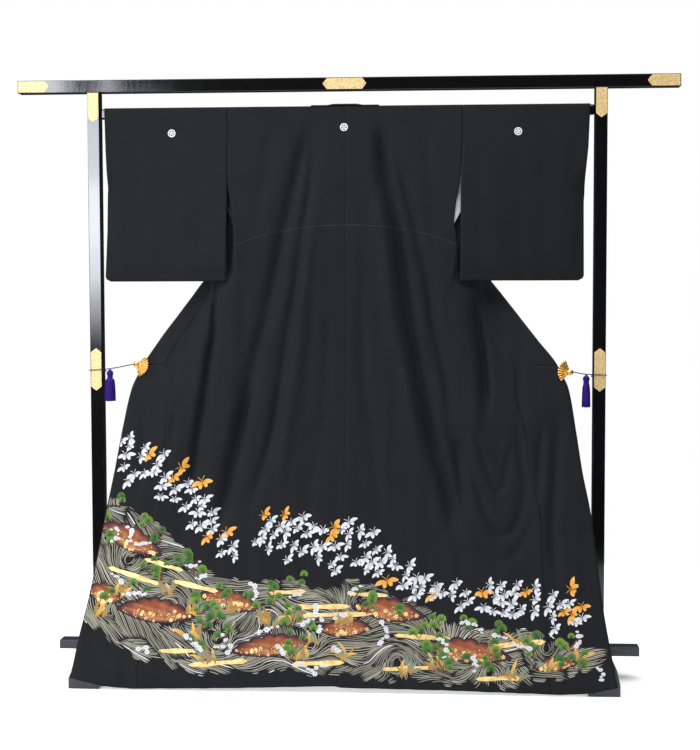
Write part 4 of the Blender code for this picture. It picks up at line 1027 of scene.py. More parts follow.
def body_inside_look(settings):
    """The inside of the body: silk lining above, and the black facing of the hem below."""
    look = Look("body inside", settings.lining, 0.62, sheen=0.02, sheen_roughness=0.4, specular=0.15)
    grain = crepe_grain(look, settings)
    height = look.axis(look.places(), "Z")
    across = look.axis(look.places(threads=True), "X")
    at_edge = look.ramp(across, BODY_WIDTH - SIDE_FACING - SOFT, BODY_WIDTH - SIDE_FACING + SOFT)
    above = look.ramp(height, SIDE_FACING_FOOT - 2 * SOFT, SIDE_FACING_FOOT + 2 * SOFT)
    at_side = look.sum(at_edge, above, "MULTIPLY")
    at_hem = look.ramp(height, settings.facing_top + 2 * SOFT, settings.facing_top - 2 * SOFT)
    facing = look.sum(at_hem, at_side, "MAXIMUM")
    shade = look.ramp(grain, 0.34, 0.66)
    silk = look.tinted(settings.lining, look.ramp(shade, 0, 1, 0.42, 0.62))
    colour = look.mix(facing, silk, look.tinted(settings.black, shade))
    seam_line = {0: height, 1: settings.facing_top, 2: SEAM_REACH}
    on_seam = look.add("ShaderNodeMath", seam_line, operation="COMPARE").outputs[0]
    look.feed({
        "Base Color": look.mix(look.ramp(on_seam, 0, 1, 0, 0.5), colour, SEAM_COLOUR),
        "Normal": look.bump(grain, settings.crepe_depth, 0.5),
    })
    return look.material


def lining_look(settings, name="silk lining", facing=0.0):
    """White silk lining, smoother than the crepe, with a black facing along a sleeve's two upright edges,
    which partly stands for painted shade inside the opening.
    """
    look = Look(name, settings.lining, 0.55, sheen=0.02, sheen_roughness=0.35, specular=0.2)
    weave = crepe_grain(look, settings)
    soft = look.noise(look.places(threads=True), LINING_CLOUD, 2.0)
    share = look.sum(look.ramp(weave, 0.3, 0.7, 0.36, 0.56), look.ramp(soft, 0.3, 0.7, -0.08, 0.08))
    colour = look.tinted(settings.lining, share)
    # The black facing, partly painted shade: the inside turns black near the sleeve's opening
    if facing:
        across = look.axis(look.places(threads=True), "X")
        from_middle = look.sum(look.sum(across, SLEEVE_WIDTH / 2, "SUBTRACT"), 0, "ABSOLUTE")
        edge = SLEEVE_WIDTH / 2 - facing
        faced = look.ramp(from_middle, edge - SOFT, edge + SOFT)
        colour = look.mix(faced, colour, look.tinted(settings.black, look.ramp(weave, 0.34, 0.66)))
    look.feed({"Base Color": colour, "Normal": look.bump(weave, settings.crepe_depth, 0.35)})
    return look.material


def dye_look(settings):
    """Dye and thread on the crepe: each motif's own colour, grained like the cloth under it."""
    look = Look(
        "dyed and embroidered hem", (0.4, 0.38, 0.3), 0.72, sheen=0.02, sheen_roughness=0.4, specular=0.15,
    )
    colour = look.add("ShaderNodeVertexColor", layer_name="dye").outputs["Color"]
    grain = crepe_grain(look, settings, threads=False)
    shade = look.ramp(grain, 0.3, 0.7, 0.72, 1.03)
    grey = look.add("ShaderNodeCombineColor", {0: shade, 1: shade, 2: shade}).outputs[0]
    look.feed({
        "Base Color": look.mix(1.0, colour, grey, "MULTIPLY"),
        "Normal": look.bump(grain, settings.crepe_depth, 0.6),
    })
    return look.material


def leaf_gold_look(colour):
    """Gold leaf laid on the cloth, broken here and there."""
    look = Look("gold leaf", colour, 0.45, metallic=0.35)
    spots = look.noise(look.places(), LEAF_SPOT, 3.0, 0.7)
    broad = look.noise(look.places(), LEAF_CLOUD, 2.0)
    worn = look.mix(look.ramp(spots, 0.30, 0.60), toned(colour, 0.45), toned(colour, 1))
    look.feed({
        "Base Color": look.mix(look.ramp(broad, 0.35, 0.65), worn, toned(colour, 1.18)),
        "Roughness": look.ramp(spots, 0.3, 0.7, 0.50, 0.34),
        "Normal": look.bump(spots, LEAF_DEPTH, 0.7),
    })
    return look.material


def lacquer_look(name, colour, roughness, grain):
    """Polished lacquer over wood: nearly even, with a slow wave and faint rubbing marks."""
    look = Look(name, colour, roughness, specular=0.5)
    wave = look.noise(look.places((1, 1, 0.2)), LACQUER_WAVE, 2.0)
    rubbed = look.noise(look.places((1, 1, 0.08)), LACQUER_RUB, 3.0, 0.7)
    look.feed({
        "Base Color": look.tinted(colour, look.ramp(rubbed, 0.3, 0.7, 0.35, 0.65)),
        "Roughness": look.ramp(rubbed, 0.3, 0.8, roughness, roughness + grain),
        "Normal": look.bump(wave, WAVE_DEPTH, 0.12, look.bump(rubbed, RUB_DEPTH, 0.25)),
    })
    return look.material


def gilt_look(colour):
    """Pale gilding with a dense punched ground."""
    look = Look("pale gilt", colour, 0.42, metallic=0.30)
    places = look.places()
    punches = {"Vector": places, "Scale": 1 / PUNCH, "Randomness": 0.9}
    cells = look.add("ShaderNodeTexVoronoi", punches, feature="F1").outputs["Distance"]
    scrolls = look.noise(places, SCROLL, 3.0, 0.7)
    height = look.sum(look.ramp(cells, 0.1, 0.6, 1, 0), look.sum(scrolls, 0.6, "MULTIPLY"))
    look.feed({
        "Base Color": look.mix(look.ramp(height, 0.3, 1.2), toned(colour, 0.74), toned(colour, 1.08)),
        "Roughness": look.ramp(scrolls, 0.3, 0.7, 0.30, 0.46),
        "Normal": look.bump(height, PUNCH_DEPTH, 0.7),
    })
    return look.material


def gold_look(colour, roughness=0.20):
    """Gold plating with fine brushing, and painted shade that darkens it in the grooves between the fan's
    ribs.
    """
    look = Look("gold plating", colour, roughness, metallic=0.9)
    brushed = look.noise(look.places((1, 1, 6)), BRUSH, 3.0, 0.6)
    broad = look.noise(look.places(), GOLD_CLOUD, 2.0)
    across = look.axis(look.places(threads=True), "X")
    # Painted shade: the gold turns darker towards each groove between the ribs
    from_groove_shade = look.ramp(look.sum(across, 0.5, "PINGPONG"), 0.02, 0.34)
    groove_shade = (*(part * share for part, share in zip(colour, GROOVE_SHADE_SHARES)), 1)
    ridge = look.tinted(colour, look.ramp(broad, 0.3, 0.7, 0.40, 0.72))
    look.feed({
        "Base Color": look.mix(from_groove_shade, groove_shade, ridge),
        "Roughness": look.ramp(brushed, 0.3, 0.7, roughness, roughness + 0.12),
        "Normal": look.bump(brushed, BRUSH_DEPTH, 0.5),
    })
    return look.material


def thread_look(name, colour):
    """Floss silk: fine strands along the piece, with a bright bloom."""
    look = Look(name, colour, 0.55, sheen=0.02, sheen_roughness=0.3, specular=0.18)
    strands = look.noise(look.places((1, 1, 0.10)), STRAND, 2.0, 0.6)
    broad = look.noise(look.places((1, 1, 0.3)), STRAND_GROUP, 2.0)
    share = look.sum(look.ramp(strands, 0.25, 0.75, 0.1, 0.8), look.ramp(broad, 0.3, 0.7, -0.15, 0.2))
    look.feed({"Base Color": look.tinted(colour, share), "Normal": look.bump(strands, STRAND_DEPTH, 0.8)})
    return look.material


def material_of(name, build, *arguments):
    """The named material, built once."""
    return bpy.data.materials.get(name) or build(*arguments)


def crepe():
    return material_of("black silk crepe", crepe_look, bpy.context.scene.kimono_cloth)


def body_inside():
    return material_of("body inside", body_inside_look, bpy.context.scene.kimono_cloth)


def lining():
    return material_of("silk lining", lining_look, bpy.context.scene.kimono_cloth)


def sleeve_inside():
    settings = bpy.context.scene.kimono_cloth
    return material_of("sleeve inside", lining_look, settings, "sleeve inside", SLEEVE_FACING_AND_SHADE)


def dye():
    return material_of("dyed and embroidered hem", dye_look, bpy.context.scene.kimono_cloth)


def leaf_gold():
    return material_of("gold leaf", leaf_gold_look, tuple(bpy.context.scene.kimono_hem.leaf_gold))


def thread():
    colour = tuple(bpy.context.scene.kimono_stand.purple)
    return material_of("purple floss silk", thread_look, "purple floss silk", colour)


def shaded_cord_thread():
    """The cord's twist: the floss's purple made darker, as painted shade on the thin cord."""
    colour = tuple(CORD_PAINTED_SHADE * part for part in bpy.context.scene.kimono_stand.purple)
    return material_of("purple twisted silk", thread_look, "purple twisted silk", colour)


# Fittings, clips, cords and tassels


def make_plate(node):
    """A gilded plate with a raised rim and pointed ends, in the box of its solid."""
    low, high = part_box(node)
    centre, half = (low + high) / 2, (high - low) / 2
    upright = half.z > half.x
    length, width = (half.z, half.x) if upright else (half.x, half.z)
    pointed = [end for end in (-1, 1) if node_is_pointed(node, end, upright)]
    corners = [(length - PLATE_POINT, width), (length - 0.55 * PLATE_POINT, 0.60 * width), (length, 0)]
    plain = [(length, width), (length, 0)]
    quarter = {end: corners if end in pointed else plain for end in (-1, 1)}
    outline = quarter[1] + [(a, -b) for a, b in quarter[1][-2::-1]]
    outline += [(-a, -b) for a, b in quarter[-1]] + [(-a, b) for a, b in quarter[-1][-2::-1]]
    bm = bmesh.new()
    verts = [
        bm.verts.new((centre.x - b if upright else centre.x + a, high.y, centre.z + (a if upright else b)))
        for a, b in outline
    ]
    bm.faces.new(verts)
    bmesh.ops.remove_doubles(bm, verts=bm.verts, dist=0.00005)
    bmesh.ops.recalc_face_normals(bm, faces=bm.faces)
    if bm.faces[:][0].normal.y > 0:
        bmesh.ops.reverse_faces(bm, faces=bm.faces[:])
    grown = bmesh.ops.extrude_discrete_faces(bm, faces=bm.faces[:])["faces"][0]
    bmesh.ops.translate(bm, vec=(0, low.y - high.y, 0), verts=grown.verts[:])
    for thickness, depth in PLATE_STEPS:
        bmesh.ops.inset_region(bm, faces=[grown], thickness=thickness, depth=depth, use_even_offset=True)
    bmesh.ops.holes_fill(bm, edges=[edge for edge in bm.edges if edge.is_boundary], sides=0)
    bmesh.ops.recalc_face_normals(bm, faces=bm.faces)
    gilt = material_of("pale gilt", gilt_look, tuple(bpy.context.scene.kimono_stand.gilt))
    made = add_piece(node.replace("plate", "fitting"), mesh_of(bm, node, False), [gilt])
    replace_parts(made, node)


def node_is_pointed(node, end, upright):
    """Whether a plate ends in a point there. A plate in the middle of its board does at both ends."""
    if not upright:
        return "middle" in node or ("left" in node) == (end == 1)
    return "middle" in node or end == -1


def fan_y(side, z):
    return FAN_Y[side] + FAN_SLOPE * (z - CLIP_PIVOT[side][1])


def make_fan(side_name):
    """A ribbed gold fan with a scalloped rim, which opens from its hub towards the cloth."""
    side = SIDES[side_name]
    pivot_x, pivot_z = CLIP_PIVOT[side]
    around, rings = 8 * FAN_RIBS, 16

    def place(columns, rows):
        """The ribs' ridges stand out to the viewer, and so does a narrow band near the rim."""
        share, out = columns / around, rows / rings
        angle = (share - 0.5) * FAN_ANGLE + FAN_LEAN[side]
        rib = share * FAN_RIBS % 1
        ridge = 1 - abs(2 * rib - 1)
        scallop = 1 - np.sqrt(np.clip(1 - (2 * rib - 1) ** 2, 0, 1))
        rim = FAN_RADIUS * (1 - FAN_SCALLOP * scallop * out)
        radius = FAN_ROOT + (rim - FAN_ROOT) * out
        z = pivot_z + radius * np.sin(angle)
        lift = -FAN_RELIEF * (2 * np.sqrt(ridge) - 1) * ease(out * 1.8)
        lift = lift - FAN_RIM * np.exp(-(((out - 0.86) / 0.05) ** 2))
        return np.stack([side * (pivot_x - radius * np.cos(angle)), fan_y(side, z) + lift, z], axis=-1)

    def laid(columns, rows):
        return columns / around * FAN_RIBS, rows / rings

    bm = bmesh.new()
    add_sheet(bm, around, rings, place, laid)
    bmesh.ops.recalc_face_normals(bm, faces=bm.faces)
    bmesh.ops.solidify(bm, geom=bm.faces[:], thickness=FAN_SHEET * 0.8)
    leaf_faces = len(bm.faces)
    turn = Matrix.Rotation(math.pi / 2, 4, "X")
    for radius, depth, y in ((HUB_RADIUS, HUB_LENGTH, 0), (HUB_RADIUS * 0.7, HUB_LENGTH * 1.3, -0.0006)):
        at = Matrix.Translation((side * pivot_x, FAN_Y[side] + y, pivot_z))
        bmesh.ops.create_cone(
            bm, cap_ends=True, segments=32, radius1=radius, radius2=radius * 0.86, depth=depth,
            matrix=at @ turn,
        )
    knob_y = FAN_Y[side] - HUB_LENGTH * 0.62
    knob = Matrix.Translation((side * pivot_x, knob_y, pivot_z)) @ Matrix.Diagonal((1, 0.6, 1, 1))
    bmesh.ops.create_uvsphere(bm, u_segments=20, v_segments=12, radius=HUB_RADIUS * 0.5, matrix=knob)
    bmesh.ops.recalc_face_normals(bm, faces=bm.faces)
    # The hub gets the colour of a rib's middle.
    threads = bm.loops.layers.uv["threads"]
    for face in bm.faces[leaf_faces:]:
        for loop in face.loops:
            loop[threads].uv = (0.5, 0.5)
    gold = material_of("gold plating", gold_look, tuple(bpy.context.scene.kimono_stand.gold))
    made = add_piece(f"fan_{side_name}", mesh_of(bm, f"fan_{side_name}"), [gold])
    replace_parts(made, f"clip_{side_name}")


def cord_route(side):
    """From the fan's hub to the post, once round it and back to the front corner."""
    pivot_x, pivot_z = CLIP_PIVOT[side]
    clear = CORD_DIAMETER / 2 + GAP + CORD_CLEARANCE
    inner = POST_SPACING / 2 - POST_WIDTH / 2 - clear
    outer = POST_SPACING / 2 + POST_WIDTH / 2 + clear
    front = -POST_DEPTH / 2 - PLATE_THICKNESS - GAP - clear
    rear = POST_DEPTH / 2 + clear
    start = pivot_x + HUB_RADIUS + CORD_START
    level = pivot_z - CORD_DROP[side]
    fan = FAN_Y[side]
    route = (
        (start, fan, pivot_z),
        (start + 0.006, fan + 0.003, pivot_z - 0.001),
        ((start + inner) / 2, (fan + front) / 2, (pivot_z + level) / 2 - 0.001),
        (inner - 0.004, front - 0.003, level + 0.001),
        (inner + 0.004, front, level),
        (outer - CORD_BEND, front, level - 0.001),
        (outer, front + CORD_BEND, level - 0.0015),
        (outer, rear - CORD_BEND, level - 0.003),
        (outer - CORD_BEND, rear, level - 0.0035),
        (inner + CORD_BEND, rear, level - 0.005),
        (inner, rear - CORD_BEND, level - 0.0055),
        (inner, front + 0.010, level - 0.007),
    )
    return [(side * x, y, z) for x, y, z in route]


def lengths_along(points):
    """How far along its line each point lies."""
    return np.concatenate([[0], np.cumsum(np.linalg.norm(np.diff(points, axis=0), axis=1))])


def even_points(route, count):
    """Evenly spaced points of the smooth curve through a route."""
    fine = through(route, np.linspace(0, len(route) - 1, 40 * len(route)))
    lengths = lengths_along(fine)
    marks = np.linspace(0, lengths[-1], count)
    return np.stack([np.interp(marks, lengths, fine[:, axis]) for axis in range(3)], axis=-1)


def add_twist(bm, points, radius, around):
    """A twisted cord along points. Its widest radius is radius."""
    run = np.gradient(points, axis=0)
    run /= np.linalg.norm(run, axis=1, keepdims=True)
    side = np.cross(run, (0, 0, 1.0))
    side += np.cross(run, (0, 1.0, 0)) * 0.05
    side /= np.linalg.norm(side, axis=1, keepdims=True)
    up = np.cross(side, run)
    gone = lengths_along(points)

    def place(columns, rows):
        row = rows.astype(int)
        turn = 2 * math.pi * columns / around
        ply = abs(np.cos(CORD_PLIES / 2 * (turn - 2 * math.pi * gone[row] / CORD_PITCH)))
        wide = radius * (0.80 + 0.20 * ply)
        across = np.cos(turn)[:, None] * side[row] + np.sin(turn)[:, None] * up[row]
        return points[row] + wide[:, None] * across

    def laid(columns, rows):
        return columns / around * 2 * math.pi * radius, gone[rows.astype(int)]

    add_sheet(bm, around, len(points) - 1, place, laid)


def close_tube(bm):
    bmesh.ops.remove_doubles(bm, verts=bm.verts, dist=JOIN)
    bmesh.ops.holes_fill(bm, edges=[edge for edge in bm.edges if edge.is_boundary], sides=0)
    bmesh.ops.recalc_face_normals(bm, faces=bm.faces)


def make_cord(side_name):
    """The purple cord, twisted from two plies, taut from the fan to the post and once round it."""
    node = f"cord_{side_name}"
    points = even_points(cord_route(SIDES[side_name]), CORD_POINTS)
    bm = bmesh.new()
    add_twist(bm, points, CORD_FULLNESS * CORD_DIAMETER / 2, 12)
    close_tube(bm)
    made = add_piece(f"cord_twisted_{side_name}", mesh_of(bm, node), [shaded_cord_thread()])
    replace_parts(made, node)
    length = float(np.linalg.norm(np.diff(points, axis=0), axis=1).sum())


def make_tassel(side_name):
    """A tassel: a round knot, a wrapped neck and a full skirt of floss that ends unevenly."""
    node = f"tassel_{side_name}"
    low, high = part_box(node)
    x, y, top, foot = (low.x + high.x) / 2, (low.y + high.y) / 2, high.z, low.z
    neck, wide = top - TASSEL_NECK, (high.x - low.x) / 2
    profile = (
        (0.0004, top), (0.0030, top - 0.0010), (0.0048, top - 0.0035), (0.0078, top - 0.0070),
        (0.0088, top - 0.011), (0.0086, neck + 0.005), (0.0074, neck + 0.001), (0.0080, neck - 0.001),
        (0.0080, neck - 0.004), (0.0076, neck - 0.005), (0.78 * wide, neck - 0.010),
        (0.90 * wide, neck - 0.024), (0.96 * wide, neck - 0.045), (0.99 * wide, foot),
    )
    around, finer = 72, 4
    rows = finer * (len(profile) - 1)

    def place(columns, numbers):
        turn = 2 * math.pi * columns / around
        radius = through([point[0] for point in profile], numbers / finer)
        z = through([point[1] for point in profile], numbers / finer)
        skirt = ease((neck - 0.006 - z) / 0.012)
        ribs = 0.5 + 0.5 * np.cos(TASSEL_RIBS * turn + 5 * np.sin(2 * turn))
        head = ease((z - neck - 0.003) / 0.004) * 0.06 * np.cos(10 * turn + 700 * (z - neck))
        on_wrap = ease((neck - 0.001 - z) / 0.001) * (z > neck - 0.005)
        wrap = 0.06 * on_wrap * (np.sin(4200 * (z - neck)) > 0)
        radius = radius * (1 - TASSEL_RIB_DEPTH * skirt * ribs + head - wrap)
        uneven = (0.5 + 0.5 * np.sin(17 * turn)) * (0.5 + 0.5 * np.sin(29 * turn + 1))
        ragged = 0.0035 * uneven * ease((neck - 0.02 - z) / 0.04)
        return np.stack([x + radius * np.cos(turn), y + radius * np.sin(turn), z + ragged], axis=-1)

    def laid(columns, numbers):
        return 0.001 * columns, 0.001 * numbers

    bm = bmesh.new()
    add_sheet(bm, around, rows, place, laid)
    close_tube(bm)
    made = add_piece(f"tassel_floss_{side_name}", mesh_of(bm, node), [thread()])
    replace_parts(made, node)


# Marks and the dyed hem. A motif is drawn in the plane of the picture and then laid on the cloth.


# Y of the hem's middle, from which the nearest cloth is looked for past its edge
MIDDLE_Y = -0.1


class Drape:
    """The outer faces of finished cloth, seen from one side, for laying thin motifs on them."""

    def __init__(self, names, towards=1):
        graph = bpy.context.evaluated_depsgraph_get()
        self.trees = [BVHTree.FromObject(bpy.data.objects[name], graph) for name in names]
        self.towards = towards

    def y_at(self, x, z):
        start, direction = Vector((x, -self.towards, z)), Vector((0, self.towards, 0))
        met = [place for place, *_ in (tree.ray_cast(start, direction) for tree in self.trees) if place]
        if met:
            return min(met, key=lambda place: self.towards * place.y).y
        near = [tree.find_nearest(Vector((x, MIDDLE_Y, z))) for tree in self.trees]
        return min((found for found in near if found[0]), key=lambda found: found[3])[0].y

    def lay(self, bm):
        """Each corner's Y holds how high it stands on the cloth."""
        for corner in bm.verts:
            x, lift, z = corner.co
            corner.co.y = self.y_at(x, z) - self.towards * lift


# Above this height nothing is trimmed at the garment's edge. Below it the dye stops short of the edge.
HEM_PICTURE_TOP, EDGE_MARGIN = 0.85, 0.0022


def garment_edge(z, side):
    """X of the garment's outer edge at a height, where the dye stops."""
    flat = side * reach(side, "free", hang_at(z))
    lowered = hang_at(z - hem_lift(flat, z))
    return side * (reach(side, "free", lowered) - EDGE_MARGIN)


def add_strips(bm, strips, rows, lift):
    """Many strips of faces made in one grid. Each strip is (places, dyes): arrays of columns x (rows + 1)
    corners, with (x, z) and colour. The faces between two strips are deleted."""
    if not strips:
        return
    counts = [len(places) for places, _ in strips]
    total = sum(counts)
    owner = np.repeat(np.arange(len(strips)), counts)
    places = np.concatenate([np.broadcast_to(places, (len(places), rows + 1, 2)) for places, _ in strips])
    dyes = np.concatenate([np.broadcast_to(dyes, (len(places), rows + 1, 3)) for places, dyes in strips])
    left, right = garment_edge(places[..., 1], LEFT), garment_edge(places[..., 1], RIGHT)
    in_hem = places[..., 1] < HEM_PICTURE_TOP
    xs = np.where(in_hem, np.clip(places[..., 0], left, right), places[..., 0])
    dye_layer = bm.verts.layers.float_color.get("dye") or bm.verts.layers.float_color.new("dye")
    corners = bmesh.ops.create_grid(bm, x_segments=total - 1, y_segments=rows, size=0.5)["verts"]
    numbers = {}
    for corner in corners:
        column_number = round((corner.co.x + 0.5) * (total - 1))
        row_number = round((corner.co.y + 0.5) * rows)
        numbers[corner] = owner[column_number]
        corner.co = (xs[column_number, row_number], lift, places[column_number, row_number, 1])
        corner[dye_layer] = (*dyes[column_number, row_number], 1.0)
    between = set()
    for corner in corners:
        for edge in corner.link_edges:
            if numbers[edge.verts[0]] != numbers[edge.verts[1]]:
                between.update(edge.link_faces)
    bmesh.ops.delete(bm, geom=list(between), context="FACES")


def blend(a, b, share):
    """Colours between a and b."""
    share = np.asarray(share, float)[..., None]
    return np.asarray(tuple(a)) * (1 - share) + np.asarray(tuple(b)) * share


def petal(root, heading, length, width, base, tip, columns, rows, curl=0.0, blunt=0.55, veins=0.0):
    """A leaf, petal or wing from its root: widest at the share blunt of its length, curved by curl."""
    along = np.linspace(0, 1, columns)[:, None]
    across = np.linspace(-1, 1, rows + 1)[None, :]
    swell = np.sin(along / blunt * math.pi / 2)
    shrink = np.clip(np.cos((along - blunt) / (1 - blunt) * math.pi / 2), 0, 1) ** 0.6
    half = width / 2 * np.clip(np.where(along < blunt, swell, shrink), 0.03, 1)
    bent = heading + curl * along
    x = root[0] + (length * along * np.cos(bent) - half * across * np.sin(bent))
    z = root[1] + length * along * np.sin(bent) + half * across * np.cos(bent)
    shade = along - 0.10 * (1 - abs(across)) - veins * (abs(abs(across) - 0.5) < 0.1)
    shade = np.clip(shade, 0, 1)
    return np.stack([x, z], axis=-1), blend(base, tip, shade**0.8)


def evenly_dyed(places, dye):
    return places, np.broadcast_to(np.asarray(tuple(dye)), (*places.shape[:2], 3))


def disc(centre, radius, dye, columns=20, inner=0.0):
    """A round spot, or a ring with an inner radius."""
    turn = np.linspace(0, 2 * math.pi, columns + 1)[:, None]
    out = np.array([[inner, radius]])
    places = np.stack([centre[0] + out * np.cos(turn), centre[1] + out * np.sin(turn)], axis=-1)
    return evenly_dyed(places, dye)


def turned(centre_x, centre_z, lean, a, b):
    """The point (a, b) of a motif's own plane, which leans about its centre."""
    x = centre_x + a * math.cos(lean) - b * math.sin(lean)
    return x, centre_z + a * math.sin(lean) + b * math.cos(lean)


def bar(x, z, length, width, lean, dye, columns=14, taper=0.16):
    """A bar of gold mist with rounded ends."""
    along = np.linspace(-1, 1, columns)[:, None]
    across = np.linspace(-1, 1, 3)[None, :]
    ends = np.sqrt(np.clip(1 - np.clip((abs(along) - (1 - taper)) / taper, 0, 1) ** 2, 0.0004, 1))
    flow = 1 + 0.22 * np.sin(5.0 * along + 9 * x)
    places = turned(x, z, lean, length / 2 * along, width / 2 * ends * flow * across)
    return evenly_dyed(np.stack(places, axis=-1), dye)


def add_motifs(name, groups, finish, names=None, towards=1):
    """One piece of laid motifs. groups holds (strips, rows, lift)."""
    bm = bmesh.new()
    for strips, rows, lift in groups:
        add_strips(bm, strips, rows, lift)
    Drape(names or OUTER_CLOTHS, towards).lay(bm)
    bmesh.ops.dissolve_degenerate(bm, dist=0.00001, edges=bm.edges)
    bmesh.ops.recalc_face_normals(bm, faces=bm.faces)
    away = [face for face in bm.faces if face.normal.y * towards > 0]
    bmesh.ops.reverse_faces(bm, faces=away)
    return add_piece(name, mesh_of(bm, name), [finish])


OUTER_CLOTHS = ("body_cloth_left", "body_cloth_right", "okumi_cloth_left", "okumi_cloth_right")

# Upper and lower bound of the water, as (x, z)
WATER_TOP = (
    (-0.70, 0.505), (-0.62, 0.510), (-0.55, 0.470), (-0.48, 0.425), (-0.40, 0.350), (-0.33, 0.300),
    (-0.24, 0.292), (-0.14, 0.298), (-0.05, 0.272), (0.04, 0.300), (0.13, 0.268), (0.22, 0.232),
    (0.30, 0.190), (0.40, 0.170), (0.50, 0.172), (0.60, 0.142), (0.70, 0.122),
)
WATER_FOOT = (
    (-0.70, 0.185), (-0.62, 0.125), (-0.54, 0.082), (-0.44, 0.056), (-0.33, 0.040), (-0.22, 0.056),
    (-0.10, 0.050), (0.02, 0.044), (0.13, 0.033), (0.26, 0.030), (0.40, 0.022), (0.50, 0.026),
    (0.60, 0.050), (0.70, 0.082),
)
# How the water's lines lean across the garment: x and angle
WATER_LEAN = ((-0.70, -0.75), (-0.45, -0.55), (-0.25, 0.05), (0.20, -0.15), (0.70, 0.20))
# Eddies in the water: x, z, radius and strength of turn
EDDIES = (
    (-0.585, 0.330, 0.045, 1.2), (-0.455, 0.235, 0.055, -1.3), (-0.330, 0.120, 0.045, 1.4),
    (-0.205, 0.215, 0.050, -1.1), (-0.085, 0.115, 0.040, 1.4), (0.035, 0.215, 0.050, 1.2),
    (0.150, 0.095, 0.045, -1.4), (0.265, 0.150, 0.040, 1.1), (0.395, 0.075, 0.040, -1.2),
    (0.540, 0.110, 0.038, 1.2),
)


def water_bounds(x):
    return looked_up(WATER_FOOT, x), looked_up(WATER_TOP, x)


def flow_at(x, z, patches):
    """Direction of the water's lines at a point, and the patch it lies in."""
    gap = np.hypot((patches[:, 0] - x), 1.7 * (patches[:, 1] - z))
    patch = int(np.argmin(gap))
    lean = patches[patch, 2] + 0.35 * math.sin(2 * math.pi * (x / 0.21 + z / 0.13 + patches[patch, 3]))
    u, w = math.cos(lean), math.sin(lean)
    for centre_x, centre_z, radius, turn in EDDIES:
        dx, dz = x - centre_x, z - centre_z
        pull = 2.4 * turn * math.exp(-(dx * dx + dz * dz) / (radius * radius)) / radius
        u, w = u - pull * dz, w + pull * dx
    size = math.hypot(u, w) or 1.0
    return u / size, w / size, patch


# Length of a line's steps, how near a line and a new line's start may come to another, as shares of the
# pitch, and the cosine of the sharpest turn between two steps
WATER_STEP, LINE_GAP, START_GAP, SHARPEST = 0.0045, 0.62, 0.94, 0.90


class WaterLines:
    """Evenly spaced lines that follow the flow, each kept clear of those drawn before it."""

    def __init__(self, settings, rng):
        self.pitch, self.rng = settings.line_pitch, rng
        xs = np.linspace(-0.66, 0.66, 13)
        patches = []
        for x in xs:
            foot, top = water_bounds(x)
            for z in np.arange(foot, top + 0.03, 0.075):
                rise = looked_up(WATER_LEAN, x)
                patch = (x + rng.uniform(-0.03, 0.03), z + rng.uniform(-0.02, 0.02))
                patches.append((*patch, rise + rng.uniform(-0.5, 0.5), rng.uniform()))
        self.patches = np.array(patches)
        self.cells = {}
        self.lines = []

    def inside(self, x, z):
        foot, top = water_bounds(x)
        ragged = 0.010 * math.sin(61 * x) * math.sin(23 * x + 1) + 0.006 * math.sin(173 * x)
        return foot + ragged < z < top + 0.8 * ragged and abs(x) < 0.70

    def clear(self, x, z, gap):
        """Whether no line drawn before comes within the gap."""
        i, k = int(x // self.pitch), int(z // self.pitch)
        for a in (i - 1, i, i + 1):
            for b in (k - 1, k, k + 1):
                for px, pz in self.cells.get((a, b), ()):
                    if (px - x) ** 2 + (pz - z) ** 2 < gap * gap:
                        return False
        return True

    def trace(self, x, z, way, most):
        """The line along the flow one way, until it turns sharply, leaves the water or meets another."""
        points = []
        for _ in range(int(most / WATER_STEP)):
            u, w, _ = flow_at(x, z, self.patches)
            x, z = x + way * WATER_STEP * u, z + way * WATER_STEP * w
            next_u, next_w, _ = flow_at(x, z, self.patches)
            sharp = u * next_u + w * next_w < SHARPEST
            if sharp or not self.inside(x, z) or not self.clear(x, z, LINE_GAP * self.pitch):
                break
            points.append((x, z))
        return points

    def draw(self):
        across, up = np.arange(-0.70, 0.70, self.pitch), np.arange(0.01, 0.54, self.pitch)
        seeds = [(x, z) for x in across for z in up]
        for number in self.rng.permutation(len(seeds)):
            x, z = np.array(seeds[number]) + self.rng.uniform(-0.3, 0.3, 2) * self.pitch
            if not self.inside(x, z) or not self.clear(x, z, START_GAP * self.pitch):
                continue
            patch = flow_at(x, z, self.patches)[2]
            most = self.rng.uniform(0.05, 0.15)
            line = self.trace(x, z, -1, most)[::-1] + [(x, z)] + self.trace(x, z, 1, most)
            if len(line) < 5:
                continue
            self.lines.append((np.array(line), patch))
            for px, pz in line:
                self.cells.setdefault((int(px // self.pitch), int(pz // self.pitch)), []).append((px, pz))
        return self.lines


def water_strips(settings, rng):
    """The water's lines as strips that swell and taper, shaded patch by patch."""
    water = WaterLines(settings, rng)
    strips = []
    tones = rng.uniform(0.15, 0.95, len(water.patches))
    for line, patch in water.draw():
        run = np.gradient(line, axis=0)
        run /= np.linalg.norm(run, axis=1, keepdims=True)
        side = np.stack([-run[:, 1], run[:, 0]], axis=-1)
        share = np.linspace(0, 1, len(line))
        taper = np.clip(np.sin(math.pi * share) * 2.6, 0.10, 1)
        half = 0.36 * settings.line_pitch * taper * rng.uniform(0.70, 1.0)
        places = line[:, None, :] + side[:, None, :] * half[:, None, None] * np.array([-1, 1])[None, :, None]
        bright = rng.uniform() < 0.045
        tone = tones[patch] + rng.uniform(-0.35, 0.35) + 0.3 * np.sin(2.5 * share + 6 * rng.uniform())
        dyes = blend(settings.water_dark, settings.water_light, np.clip(tone, 0, 1))
        if bright:
            dyes = blend(settings.shade, settings.white, 0.3 + 0.6 * share)
        strips.append((places, np.repeat(dyes[:, None, :], 2, axis=1)))
    return strips


